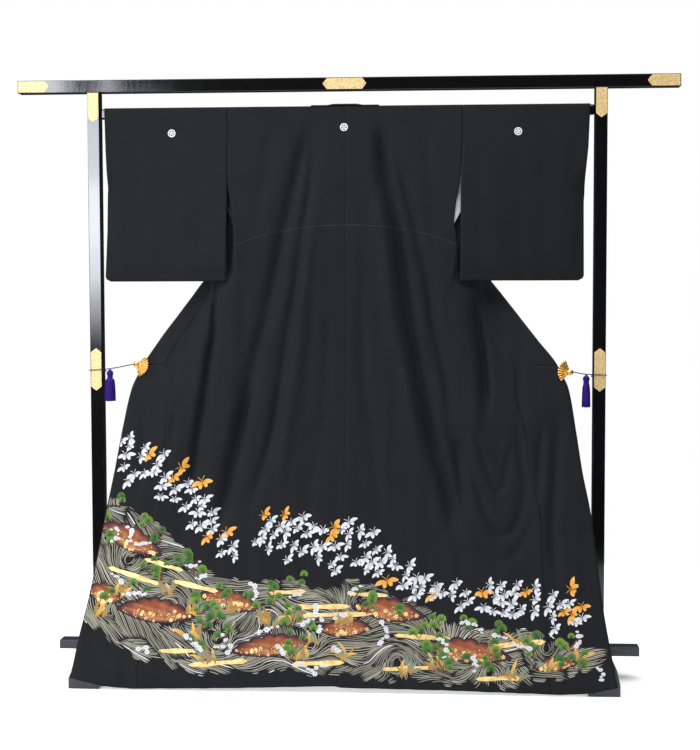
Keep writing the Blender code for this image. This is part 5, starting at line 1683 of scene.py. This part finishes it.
# Clouds: centre x, z, half length, half height, lean, number of lobes
CLOUDS = (
    (-0.575, 0.395, 0.095, 0.034, -0.42, 5), (-0.500, 0.205, 0.105, 0.034, -0.10, 6),
    (-0.300, 0.235, 0.085, 0.028, -0.22, 5), (-0.185, 0.118, 0.110, 0.030, 0.12, 6),
    (0.010, 0.168, 0.070, 0.026, 0.05, 4), (0.125, 0.215, 0.095, 0.032, -0.14, 5),
    (0.330, 0.112, 0.120, 0.032, -0.12, 6), (0.565, 0.082, 0.060, 0.019, 0.12, 4),
    (-0.640, 0.250, 0.050, 0.028, -0.30, 4),
)
# Bars of gold mist: centre x, z, length, width, lean
BARS = (
    (-0.560, 0.300, 0.150, 0.0120, -0.30), (-0.480, 0.330, 0.110, 0.0110, -0.28),
    (-0.395, 0.275, 0.130, 0.0115, -0.20), (-0.330, 0.075, 0.160, 0.0120, 0.08),
    (-0.430, 0.105, 0.120, 0.0110, 0.02), (-0.050, 0.225, 0.150, 0.0115, 0.02),
    (-0.010, 0.205, 0.190, 0.0110, 0.03), (-0.060, 0.078, 0.140, 0.0115, 0.04),
    (0.215, 0.150, 0.150, 0.0115, -0.05), (0.175, 0.068, 0.130, 0.0110, 0.05),
    (0.470, 0.135, 0.140, 0.0110, 0.10), (0.415, 0.045, 0.120, 0.0100, 0.03),
    (-0.145, 0.262, 0.100, 0.0100, 0.05), (0.070, 0.258, 0.110, 0.0100, -0.04),
)


# Rings of a cloud's faces, from its middle outwards, and how many flecks there are for each metre of its
# half length
CLOUD_RINGS = (0.0, 0.14, 0.28, 0.42, 0.54, 0.65, 0.74, 0.82, 0.88, 0.93, 0.97, 1.03)
CLOUD_FLECKS = 1700


def cloud_outline(turn, cloud):
    """Outline of a cloud about its centre: lobed above, smooth below, drawn out at both ends."""
    x, _, half_length, half_height, _, lobes = cloud
    share = np.cos(turn)
    hump = np.clip(1 - abs(share) ** 1.7, 0, 1) ** 0.75
    lobe = 0.72 + 0.28 * abs(np.sin(lobes * math.pi / 2 * (share + 1) + 40 * x)) ** 0.6
    return half_length * share, half_height * np.where(np.sin(turn) > 0, 1.2 * hump * lobe, -0.8 * hump)


def leaned(cloud, a, b):
    """The point (a, b) of a cloud's own plane on the garment."""
    x, z, _, _, lean, _ = cloud
    return turned(x, z, lean, a, b)


def cloud_strips(settings, rng):
    """Rust clouds, dark at the edge and paler inside, with places for gold flecks in their lower part."""
    strips, spots = [], []
    shares = np.array(CLOUD_RINGS)
    edge = np.clip((shares - 0.62) / 0.35, 0, 1) ** 1.2
    for cloud in CLOUDS:
        half_length, half_height = cloud[2:4]
        turn = np.linspace(0, 2 * math.pi, 121)
        a, b = (value[:, None] * shares[None, :] for value in cloud_outline(turn, cloud))
        streaks = 0.25 * np.sin(70 * a + 9 * np.sin(40 * b)) + 0.15 * np.sin(190 * a + 5)
        pale = np.clip(0.35 - 0.5 * b / half_height + streaks, 0, 1) * (1 - edge)[None, :]
        rust = blend(settings.cloud, settings.cloud_pale, pale)
        dark = np.asarray(tuple(settings.cloud_edge))
        strips.append((np.stack(leaned(cloud, a, b), axis=-1), rust + (dark - rust) * edge[None, :, None]))
        for _ in range(int(CLOUD_FLECKS * half_length)):
            a, b = cloud_outline(rng.uniform(0, 2 * math.pi), cloud)
            share = math.sqrt(rng.uniform(0, 0.8))
            if b * share < half_height * rng.uniform(-0.3, 0.5):
                spots.append(leaned(cloud, float(a) * share, float(b) * share))
    return strips, spots


def gold_strips(spots, rng):
    """Flecks and small five-petalled blossoms of gold leaf, and the bars of mist."""
    undyed = (1, 1, 1)
    flecks, blossoms = [], []
    for number, (x, z) in enumerate(spots):
        if number % 9:
            flecks.append(disc((x, z), rng.uniform(0.0006, 0.0019), undyed, columns=int(rng.integers(3, 6))))
            continue
        size, first = rng.uniform(0.0035, 0.0060), rng.uniform(0, 6.28)
        for turn in np.arange(5) * 2 * math.pi / 5 + first:
            root = (x + 0.0006 * math.cos(turn), z + 0.0006 * math.sin(turn))
            blossoms.append(petal(root, turn, size, size * 0.8, undyed, undyed, 5, 1, blunt=0.7))
    return flecks, blossoms, [bar(*row, undyed) for row in BARS]


# How far from the middle plants grow. Then for each kind: how many there are, from what to what share of the
# water's height they grow, and how far apart.
SPREAD = 0.67
GROWTH = {"bush": (40, 0.20, 1.0, 0.040), "spray": (30, 0.02, 0.98, 0.045), "tuft": (20, 0.08, 0.70, 0.062)}


def scattered(rng, count, low, high, gap):
    """Places spread over the water from low to high, as shares of its height, kept a gap apart."""
    found = []
    for _ in range(count * 60):
        x = rng.uniform(-SPREAD, SPREAD)
        foot, top = water_bounds(x)
        z = foot + (top - foot) * rng.uniform(low, high)
        if all((x - a) ** 2 + (z - b) ** 2 > gap * gap for a, b in found):
            found.append((x, z))
        if len(found) == count:
            break
    return found


def leaf_strips(settings, rng):
    """Low leafy bushes in tiers. Each tier is a fan of leaves on a brown twig, dark below and yellow-green
    at the tips."""
    leaves, twigs = [], []
    for x, z in scattered(rng, *GROWTH["bush"]):
        tiers = int(rng.integers(2, 6))
        for tier in range(tiers):
            size = rng.uniform(0.012, 0.019)
            root = (x + rng.uniform(-0.024, 0.024), z + 0.012 * tier + rng.uniform(-0.005, 0.005))
            fresh = blend(settings.leaf_dark, settings.leaf, rng.uniform(0.35, 1.0))
            ground = (x, z - 0.010)
            heading, long = math.atan2(root[1] - z + 0.012, root[0] - x), math.dist(root, ground)
            curl = rng.uniform(-0.5, 0.5)
            twigs.append(petal(ground, heading, long, 0.0022, settings.twig, settings.twig, 5, 1, curl, 0.3))
            for turn in np.linspace(0.0, math.pi, 9)[rng.permutation(9)]:
                long = size * (0.78 + 0.22 * math.sin(turn))
                greens = (settings.leaf_dark, fresh)
                leaves.append(petal(root, turn, long, size * 0.40, *greens, 5, 2, blunt=0.6))
    return leaves, twigs


# Distance between two blossoms of a spray
SPRAY_STEP = 0.0085


def blossom_strips(settings, rng):
    """White many-petalled blossoms with grey-blue hearts, strung out in curved sprays."""
    petals, hearts = [], []
    for x, z in scattered(rng, *GROWTH["spray"]):
        heading, bend = rng.uniform(-0.6, 0.6), rng.uniform(-70, 70)
        for number in range(int(rng.integers(4, 10))):
            x, z = x + SPRAY_STEP * math.cos(heading), z + SPRAY_STEP * math.sin(heading)
            heading += SPRAY_STEP * bend
            cx, cz = x + rng.uniform(-0.004, 0.004), z + rng.uniform(-0.004, 0.004)
            size = rng.uniform(0.0040, 0.0088)
            tilt = rng.uniform(0.55, 1.0)
            for turn in np.arange(7) * 2 * math.pi / 7 + rng.uniform(0, 1):
                white = (settings.shade, settings.white)
                places, dyes = petal((cx, cz), turn, size, size * 0.66, *white, 4, 2, blunt=0.68)
                places[..., 1] = cz + (places[..., 1] - cz) * tilt
                petals.append((places, dyes))
            if number % 3 == 0:
                hearts.append(disc((cx, cz), size * 0.17, settings.amber, columns=7))
    return petals, hearts


def reed_strips(settings, rng):
    """Tufts of broad reeds: pointed blades, ochre at the foot and teal or amber at the tip."""
    strips = []
    for x, z in scattered(rng, *GROWTH["tuft"]):
        for number in range(int(rng.integers(6, 11))):
            tip = (settings.teal, settings.amber, settings.ochre)[int(rng.integers(0, 3))]
            heading = math.pi / 2 + rng.uniform(-0.60, 0.60)
            root = (x + (number - 4) * 0.0050, z + rng.uniform(-0.006, 0.006))
            size = rng.uniform(0.026, 0.055)
            wide = rng.uniform(0.007, 0.012)
            curl = rng.uniform(-0.8, 0.8)
            strips.append(petal(root, heading, size, wide, settings.ochre, tip, 8, 2, curl=curl, blunt=0.35))
    return strips


# Paths that the butterflies follow: (x, z), and the half width of the swarm there. Then the share of all
# butterflies on each path.
SWARMS = (
    (
        (-0.600, 0.655, 0.020), (-0.545, 0.600, 0.050), (-0.470, 0.535, 0.055), (-0.400, 0.480, 0.050),
        (-0.335, 0.410, 0.030), (-0.290, 0.355, 0.015),
    ),
    (
        (-0.240, 0.395, 0.015), (-0.170, 0.430, 0.050), (-0.090, 0.405, 0.060), (0.000, 0.375, 0.060),
        (0.090, 0.350, 0.050), (0.180, 0.310, 0.030), (0.250, 0.262, 0.012),
    ),
    (
        (0.240, 0.265, 0.012), (0.330, 0.262, 0.030), (0.410, 0.245, 0.045), (0.490, 0.255, 0.045),
        (0.570, 0.235, 0.035), (0.635, 0.200, 0.022),
    ),
)
SWARM_SHARES = (0.30, 0.42, 0.28)
# How often a place is tried, how far apart they fly, at first and once half the attempts are used up, and how
# far from the garment's edge
SWARM_TRIES, SWARM_GAP, SWARM_LATE_GAP, SWARM_MARGIN = 6000, 0.020, 0.014, 0.016


def swarm_places(settings, rng):
    """Places of the butterflies: spread round each path, thinning out from its middle."""
    found = []
    for path, share in zip(SWARMS, SWARM_SHARES):
        held = []
        wanted = round(settings.butterflies * share)
        for attempt in range(SWARM_TRIES):
            if len(held) == wanted:
                break
            x, z, half = through(path, np.array([rng.uniform(0, len(path) - 1)]))[0]
            x, z = x + rng.normal(0, 0.4) * half, z + rng.normal(0, 0.55) * half
            gap = SWARM_GAP if attempt < SWARM_TRIES / 2 else SWARM_LATE_GAP
            apart = all((x - a) ** 2 + (z - b) ** 2 > gap * gap for a, b in held)
            if apart and abs(x) < garment_edge(z, RIGHT) - SWARM_MARGIN:
                held.append((x, z))
        found += held
    return found


# Hind and fore wing: turn from the heading, length and width as shares of the size, curl, and where it is
# widest
WINGS = ((2.15, 0.56, 0.34, 0.30, 0.66), (1.32, 1.00, 0.36, 0.35, 0.50))


def butterfly_strips(settings, rng):
    """White butterflies in flight, some of them orange, with long fore and short hind wings and feelers."""
    wings, bodies = [], []
    for x, z in swarm_places(settings, rng):
        bright = rng.uniform() < 0.12
        base, tip = (settings.orange, settings.amber) if bright else (settings.shade, settings.white)
        size = settings.wing * rng.uniform(0.80, 1.12) * (1.2 if bright else 1.0)
        heading = 2.25 + rng.normal(0, 0.42)
        banks = (1.0, rng.uniform(0.55, 0.95))
        for way, bank in zip(rng.permutation((-1, 1)), banks):
            for turn, long, wide, curl, blunt in WINGS:
                shape = (heading + way * turn, long * bank * size, wide * size)
                wings.append(petal((x, z), *shape, base, tip, 8, 4, way * curl, blunt, veins=0.16))
            feeler = (heading - way * 0.16, 0.62 * size, 0.0012, tip, tip, 6, 1, -way * 0.4, 0.9)
            bodies.append(petal((x, z), *feeler))
        dark = blend(base, (0.02, 0.02, 0.03), 0.6)
        tail = (x - 0.30 * size * math.cos(heading), z - 0.30 * size * math.sin(heading))
        bodies.append(petal(tail, heading, 0.62 * size, 0.085 * size, dark, dark, 6, 1, 0.0, 0.6))
    return wings, bodies


# The marks: (x, z) of their middles on the back and on the fronts, and radii of the ring, its hole, the
# place of the dots, the dots and the middle dot
BACK_CRESTS = ((-0.476, 1.4965), (-0.002, 1.509), (0.470, 1.4937))
FRONT_CRESTS = ((-0.245, 1.435), (0.245, 1.435))
MARK_RADIUS, MARK_HOLE, DOT_PLACE, DOT_RADIUS, MIDDLE_RADIUS = 0.0106, 0.0080, 0.0046, 0.0023, 0.0016
MARK_WHITE = (0.86, 0.87, 0.90)


def crest_strips(centre):
    """A plain round mark: a white ring with five dots round a small one."""
    rings = [disc(centre, MARK_RADIUS, MARK_WHITE, 40, inner=MARK_HOLE)]
    x, z = centre
    turns = np.arange(5) * 2 * math.pi / 5
    spots = [(x + DOT_PLACE * math.sin(turn), z + DOT_PLACE * math.cos(turn)) for turn in turns]
    dots = [disc(spot, DOT_RADIUS, MARK_WHITE, 16) for spot in spots]
    return rings + dots + [disc(centre, MIDDLE_RADIUS, MARK_WHITE, 12)]


# The waist tuck's line of stitches: (x, z), the stitches' distance, length and half width, and their grey
TUCK = (
    (-0.309, 1.1860), (-0.22, 1.2160), (-0.11, 1.2360), (0.0, 1.2424), (0.11, 1.2375), (0.22, 1.2180),
    (0.306, 1.1880),
)
STITCH_PITCH, STITCH_LENGTH, STITCH_HALF, STITCH_GREY = 0.0085, 0.0024, 0.00045, (0.16, 0.165, 0.18)


def stitch_strips():
    """Single short stitches in grey thread, about a centimetre apart."""
    line = through(TUCK, np.linspace(0, len(TUCK) - 1, 400))
    gone = lengths_along(line)
    strips = []
    for start in np.arange(0.002, gone[-1] - 0.004, STITCH_PITCH):
        marks = start + STITCH_LENGTH * np.array([0, 0.5, 1])
        middle = np.stack([np.interp(marks, gone, line[:, axis]) for axis in range(2)], axis=-1)
        places = middle[:, None, :] + np.array([[0, -STITCH_HALF], [0, STITCH_HALF]])[None]
        strips.append(evenly_dyed(places, STITCH_GREY))
    return strips


# Studio

# The photograph's camera: place, then yaw, pitch and roll in radians, and the lens
CAMERA_PLACE = (0.2868, -4.115, 1.0748)
CAMERA_TURN = (0.0667, 0.0588, -0.0024)
CAMERA_LENS, CAMERA_SENSOR = 71.87, 36
FLOOR_RADIUS = 1.9
PANEL_TINT = (0.88, 0.92, 1.0)
# Panels that the left post and the rail's left end mirror: x, z, width, height and share of the brightness,
# and the Y at which they all stand
PANELS = (
    (-1.80, 1.870, 1.00, 0.42, 0.92), (-1.80, 1.480, 1.00, 0.36, 1.32), (-1.80, 1.200, 1.00, 0.20, 1.12),
    (-1.80, 1.065, 1.00, 0.07, 0.80), (-1.80, 0.985, 1.00, 0.09, 0.58), (-1.80, 0.900, 1.00, 0.08, 0.38),
    (-1.80, 0.820, 1.00, 0.08, 0.16), (-2.02, 2.23, 0.40, 0.26, 1.0), (-1.59, 2.23, 0.06, 0.26, 1.0),
)
PANEL_Y = -4.1
# The other lights: place, the point they are aimed at, and size
KEY_LIGHT = ((-3.9, -2.2, 2.6), (0, 0, 0.8), (1.6, 2.0))
TOP_LIGHT = ((0, 0, 4.0), (0, 0, 0), (5.5, 5.0))


def add_camera():
    """The camera, turned by its yaw, then its pitch and then its roll."""
    yaw, pitch, roll = CAMERA_TURN
    level_right = Vector((math.cos(yaw), math.sin(yaw), 0))
    level_up = Vector((-math.sin(yaw) * math.sin(pitch), math.cos(yaw) * math.sin(pitch), math.cos(pitch)))
    forward = Vector((-math.sin(yaw) * math.cos(pitch), math.cos(yaw) * math.cos(pitch), -math.sin(pitch)))
    right = math.cos(roll) * level_right + math.sin(roll) * level_up
    up = math.cos(roll) * level_up - math.sin(roll) * level_right
    data = bpy.data.cameras.new("camera")
    data.lens = CAMERA_LENS
    data.sensor_width = CAMERA_SENSOR
    made = bpy.data.objects.new("camera", data)
    turn = Matrix((right, up, -forward)).transposed().to_4x4()
    made.matrix_world = Matrix.Translation(CAMERA_PLACE) @ turn
    bpy.context.scene.collection.objects.link(made)
    bpy.context.scene.camera = made


def add_area(name, place, aim, size, power, colour=(1, 1, 1)):
    data = bpy.data.lights.new(name, "AREA")
    data.shape = "RECTANGLE"
    data.size, data.size_y = size
    data.energy = power
    data.color = colour
    made = bpy.data.objects.new(name, data)
    made.location = place
    made.rotation_euler = (Vector(aim) - Vector(place)).to_track_quat("-Z", "Y").to_euler()
    bpy.context.scene.collection.objects.link(made)


def add_floor(settings):
    """A pale round floor under the stand."""
    bm = bmesh.new()
    bmesh.ops.create_circle(bm, cap_ends=True, segments=96, radius=FLOOR_RADIUS)
    look = Look("pale floor", settings.floor, 0.9, specular=0.0)
    made = bpy.data.objects.new("floor", mesh_of(bm, "floor", False))
    made.data.materials.append(look.material)
    bpy.context.scene.collection.objects.link(made)


def add_world(settings):
    """White behind the object for the camera, softer light all round, and a dark room in the lacquer."""
    world = bpy.data.worlds.new("studio")
    world.use_nodes = True
    tree = world.node_tree
    tree.nodes.clear()
    rays = tree.nodes.new("ShaderNodeLightPath").outputs
    shown = None
    rooms = (
        (settings.surround, None),
        (settings.mirrored, "Is Glossy Ray"),
        (settings.backdrop, "Is Camera Ray"),
    )
    for strength, ray in rooms:
        shade = tree.nodes.new("ShaderNodeBackground")
        shade.inputs["Color"].default_value = (1, 1, 1, 1)
        shade.inputs["Strength"].default_value = strength
        if shown is None:
            shown = shade.outputs[0]
            continue
        mixed = tree.nodes.new("ShaderNodeMixShader")
        for number, source in enumerate((rays[ray], shown, shade.outputs[0])):
            tree.links.new(source, mixed.inputs[number])
        shown = mixed.outputs[0]
    tree.links.new(shown, tree.nodes.new("ShaderNodeOutputWorld").inputs["Surface"])
    bpy.context.scene.world = world


# Operators


# How high each kind of motif stands on the cloth
LIFT = {
    "mark": 0.0002, "water": 0.0002, "cloud": 0.0004, "fleck": 0.0006, "bar": 0.0006, "gold blossom": 0.0007,
    "reed": 0.0007, "twig": 0.0008, "leaf": 0.0009, "petal": 0.0011, "wing": 0.0012, "heart": 0.0013,
    "feeler": 0.0014,
}


def random_for(settings, piece_number):
    """A piece's own row of random numbers, the same at each run."""
    return np.random.default_rng(1000 * settings.seed + piece_number)


class KIMONO_OT_stand(bpy.types.Operator):
    """Lacquer the posts, rails, rod and feet"""

    bl_idname = "kimono.stand"
    bl_label = "Stand"

    def execute(self, context):
        settings = context.scene.kimono_stand
        black = lacquer_look("black lacquer", settings.lacquer, roughness=0.07, grain=0.05)
        dark = lacquer_look("foot lacquer", settings.dark_lacquer, roughness=0.26, grain=0.14)
        for name in ("top_rail", "garment_rod", "post_left", "post_right"):
            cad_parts[name].data.materials[0] = black
        for name in ("low_rail", "foot_left", "foot_right", "foot_block_left", "foot_block_right"):
            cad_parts[name].data.materials[0] = dark
        return {"FINISHED"}


class KIMONO_OT_fittings(bpy.types.Operator):
    """Add the gilded plates on the rail and the posts"""

    bl_idname = "kimono.fittings"
    bl_label = "Gilded fittings"

    def execute(self, context):
        for node in sorted(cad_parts):
            if node.startswith("plate_"):
                make_plate(node)
        return {"FINISHED"}


class KIMONO_OT_body(bpy.types.Operator):
    """Add the two body panels, from back hem over the shoulder to front hem"""

    bl_idname = "kimono.body"
    bl_label = "Body panels"

    def execute(self, context):
        for side_name in SIDES:
            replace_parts(make_body(side_name, [crepe(), body_inside()]), f"body_{side_name}")
        return {"FINISHED"}


class KIMONO_OT_overlap(bpy.types.Operator):
    """Add the two overlap panels at the front edges"""

    bl_idname = "kimono.overlap"
    bl_label = "Overlap panels"

    def execute(self, context):
        for side_name in SIDES:
            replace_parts(make_overlap(side_name, [crepe(), body_inside()]), f"okumi_{side_name}")
        return {"FINISHED"}


class KIMONO_OT_sleeves(bpy.types.Operator):
    """Add the two sleeves on the rod"""

    bl_idname = "kimono.sleeves"
    bl_label = "Sleeves"

    def execute(self, context):
        for side_name in SIDES:
            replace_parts(make_sleeve(side_name, [crepe(), sleeve_inside()]), f"sleeve_{side_name}")
        return {"FINISHED"}


class KIMONO_OT_collar(bpy.types.Operator):
    """Add the collar down both fronts and over the rod"""

    bl_idname = "kimono.collar"
    bl_label = "Collar"

    def execute(self, context):
        for side_name in SIDES:
            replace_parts(make_collar_front(side_name, [crepe()]), f"collar_{side_name}")
        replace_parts(make_collar_neck([crepe()]), "collar_neck")
        return {"FINISHED"}


class KIMONO_OT_lining(bpy.types.Operator):
    """Add the white lining that shows at the right armhole"""

    bl_idname = "kimono.lining"
    bl_label = "Lining"

    def execute(self, context):
        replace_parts(make_lining("right", [lining()]), "lining_right")
        return {"FINISHED"}


class KIMONO_OT_fans(bpy.types.Operator):
    """Add the two gold fan clips"""

    bl_idname = "kimono.fans"
    bl_label = "Fan clips"

    def execute(self, context):
        for side_name in SIDES:
            make_fan(side_name)
        return {"FINISHED"}


class KIMONO_OT_cords(bpy.types.Operator):
    """Add the twisted cords and their tassels"""

    bl_idname = "kimono.cords"
    bl_label = "Cords and tassels"

    def execute(self, context):
        for side_name in SIDES:
            make_cord(side_name)
            make_tassel(side_name)
        return {"FINISHED"}


class KIMONO_OT_marks(bpy.types.Operator):
    """Add the five plain round marks and the tuck's stitches"""

    bl_idname = "kimono.marks"
    bl_label = "Marks and stitches"

    def execute(self, context):
        sleeves = tuple(f"sleeve_cloth_{side_name}" for side_name in SIDES)
        back = [strip for centre in BACK_CRESTS for strip in crest_strips(centre)]
        add_motifs("marks_back", [(back, 1, LIFT["mark"])], dye(), OUTER_CLOTHS + sleeves)
        front = [strip for centre in FRONT_CRESTS for strip in crest_strips(centre)]
        add_motifs("marks_front", [(front, 1, LIFT["mark"])], dye(), OUTER_CLOTHS, -1)
        add_motifs("tuck_stitches", [(stitch_strips(), 1, LIFT["mark"])], dye())
        return {"FINISHED"}


class KIMONO_OT_water(bpy.types.Operator):
    """Add the hem's flowing water"""

    bl_idname = "kimono.water"
    bl_label = "Water"

    def execute(self, context):
        settings = context.scene.kimono_hem
        lines = water_strips(settings, random_for(settings, 1))
        add_motifs("hem_water", [(lines, 1, LIFT["water"])], dye())
        return {"FINISHED"}


class KIMONO_OT_clouds(bpy.types.Operator):
    """Add the hem's rust clouds and the gold leaf"""

    bl_idname = "kimono.clouds"
    bl_label = "Clouds and gold"

    def execute(self, context):
        settings = context.scene.kimono_hem
        rng = random_for(settings, 2)
        clouds, spots = cloud_strips(settings, rng)
        flecks, blossoms, bars = gold_strips(spots, rng)
        add_motifs("hem_clouds", [(clouds, len(CLOUD_RINGS) - 1, LIFT["cloud"])], dye())
        gold = [(flecks, 1, LIFT["fleck"]), (blossoms, 1, LIFT["gold blossom"]), (bars, 2, LIFT["bar"])]
        add_motifs("hem_gold", gold, leaf_gold())
        return {"FINISHED"}


class KIMONO_OT_plants(bpy.types.Operator):
    """Add the hem's leaves, reeds and white blossoms"""

    bl_idname = "kimono.plants"
    bl_label = "Plants"

    def execute(self, context):
        settings = context.scene.kimono_hem
        reeds = reed_strips(settings, random_for(settings, 3))
        leaves, twigs = leaf_strips(settings, random_for(settings, 4))
        petals, hearts = blossom_strips(settings, random_for(settings, 5))
        groups = [
            (reeds, 2, LIFT["reed"]), (twigs, 1, LIFT["twig"]), (leaves, 2, LIFT["leaf"]),
            (petals, 2, LIFT["petal"]), (hearts, 1, LIFT["heart"]),
        ]
        add_motifs("hem_plants", groups, dye())
        return {"FINISHED"}


class KIMONO_OT_butterflies(bpy.types.Operator):
    """Add the swarms of butterflies over the water"""

    bl_idname = "kimono.butterflies"
    bl_label = "Butterflies"

    def execute(self, context):
        settings = context.scene.kimono_hem
        wings, bodies = butterfly_strips(settings, random_for(settings, 6))
        add_motifs("hem_butterflies", [(wings, 4, LIFT["wing"]), (bodies, 1, LIFT["feeler"])], dye())
        return {"FINISHED"}


class KIMONO_OT_stage(bpy.types.Operator):
    """Add the floor, the soft light and the camera"""

    bl_idname = "kimono.stage"
    bl_label = "Stage"

    def execute(self, context):
        settings = context.scene.kimono_studio
        add_camera()
        add_floor(settings)
        add_world(settings)
        for number, (x, z, wide, high, share) in enumerate(PANELS):
            power = settings.panel * share * wide * high
            add_area(f"side_panel_{number}", (x, PANEL_Y, z), (x, 0, z), (wide, high), power, PANEL_TINT)
        add_area("key_light", *KEY_LIGHT, settings.key)
        add_area("top_light", *TOP_LIGHT, settings.top)
        context.scene.view_settings.view_transform = "Standard"
        return {"FINISHED"}


OPERATORS = (
    KIMONO_OT_stand, KIMONO_OT_fittings, KIMONO_OT_body, KIMONO_OT_overlap, KIMONO_OT_sleeves,
    KIMONO_OT_collar, KIMONO_OT_lining, KIMONO_OT_fans, KIMONO_OT_cords, KIMONO_OT_marks, KIMONO_OT_water,
    KIMONO_OT_clouds, KIMONO_OT_plants, KIMONO_OT_butterflies, KIMONO_OT_stage,
)


class KIMONO_PT_panel(bpy.types.Panel):
    """Settings of the kimono and a button for each group of its pieces"""

    bl_label = "Kimono on a stand"
    bl_idname = "KIMONO_PT_panel"
    bl_space_type = "VIEW_3D"
    bl_region_type = "UI"
    bl_category = "Kimono"

    def draw(self, context):
        for name in SETTINGS:
            settings = getattr(context.scene, name)
            box = self.layout.box()
            for key in settings.__annotations__:
                box.prop(settings, key)
        for operator in OPERATORS:
            self.layout.operator(operator.bl_idname)


SETTINGS = {
    "kimono_cloth": ClothSettings,
    "kimono_hem": HemSettings,
    "kimono_stand": StandSettings,
    "kimono_studio": StudioSettings,
}


def register():
    for made in (*SETTINGS.values(), *OPERATORS, KIMONO_PT_panel):
        bpy.utils.register_class(made)
    for name, group in SETTINGS.items():
        setattr(bpy.types.Scene, name, PointerProperty(type=group))


def unregister():
    for name in SETTINGS:
        delattr(bpy.types.Scene, name)
    for made in reversed((*SETTINGS.values(), *OPERATORS, KIMONO_PT_panel)):
        bpy.utils.unregister_class(made)


def main():
    register()
    collection = bpy.data.collections.new(COLLECTION_NAME)
    bpy.context.scene.collection.children.link(collection)
    for operator in OPERATORS:
        group, name = operator.bl_idname.split(".")
        getattr(getattr(bpy.ops, group), name)()


if __name__ == "__main__":
    main()
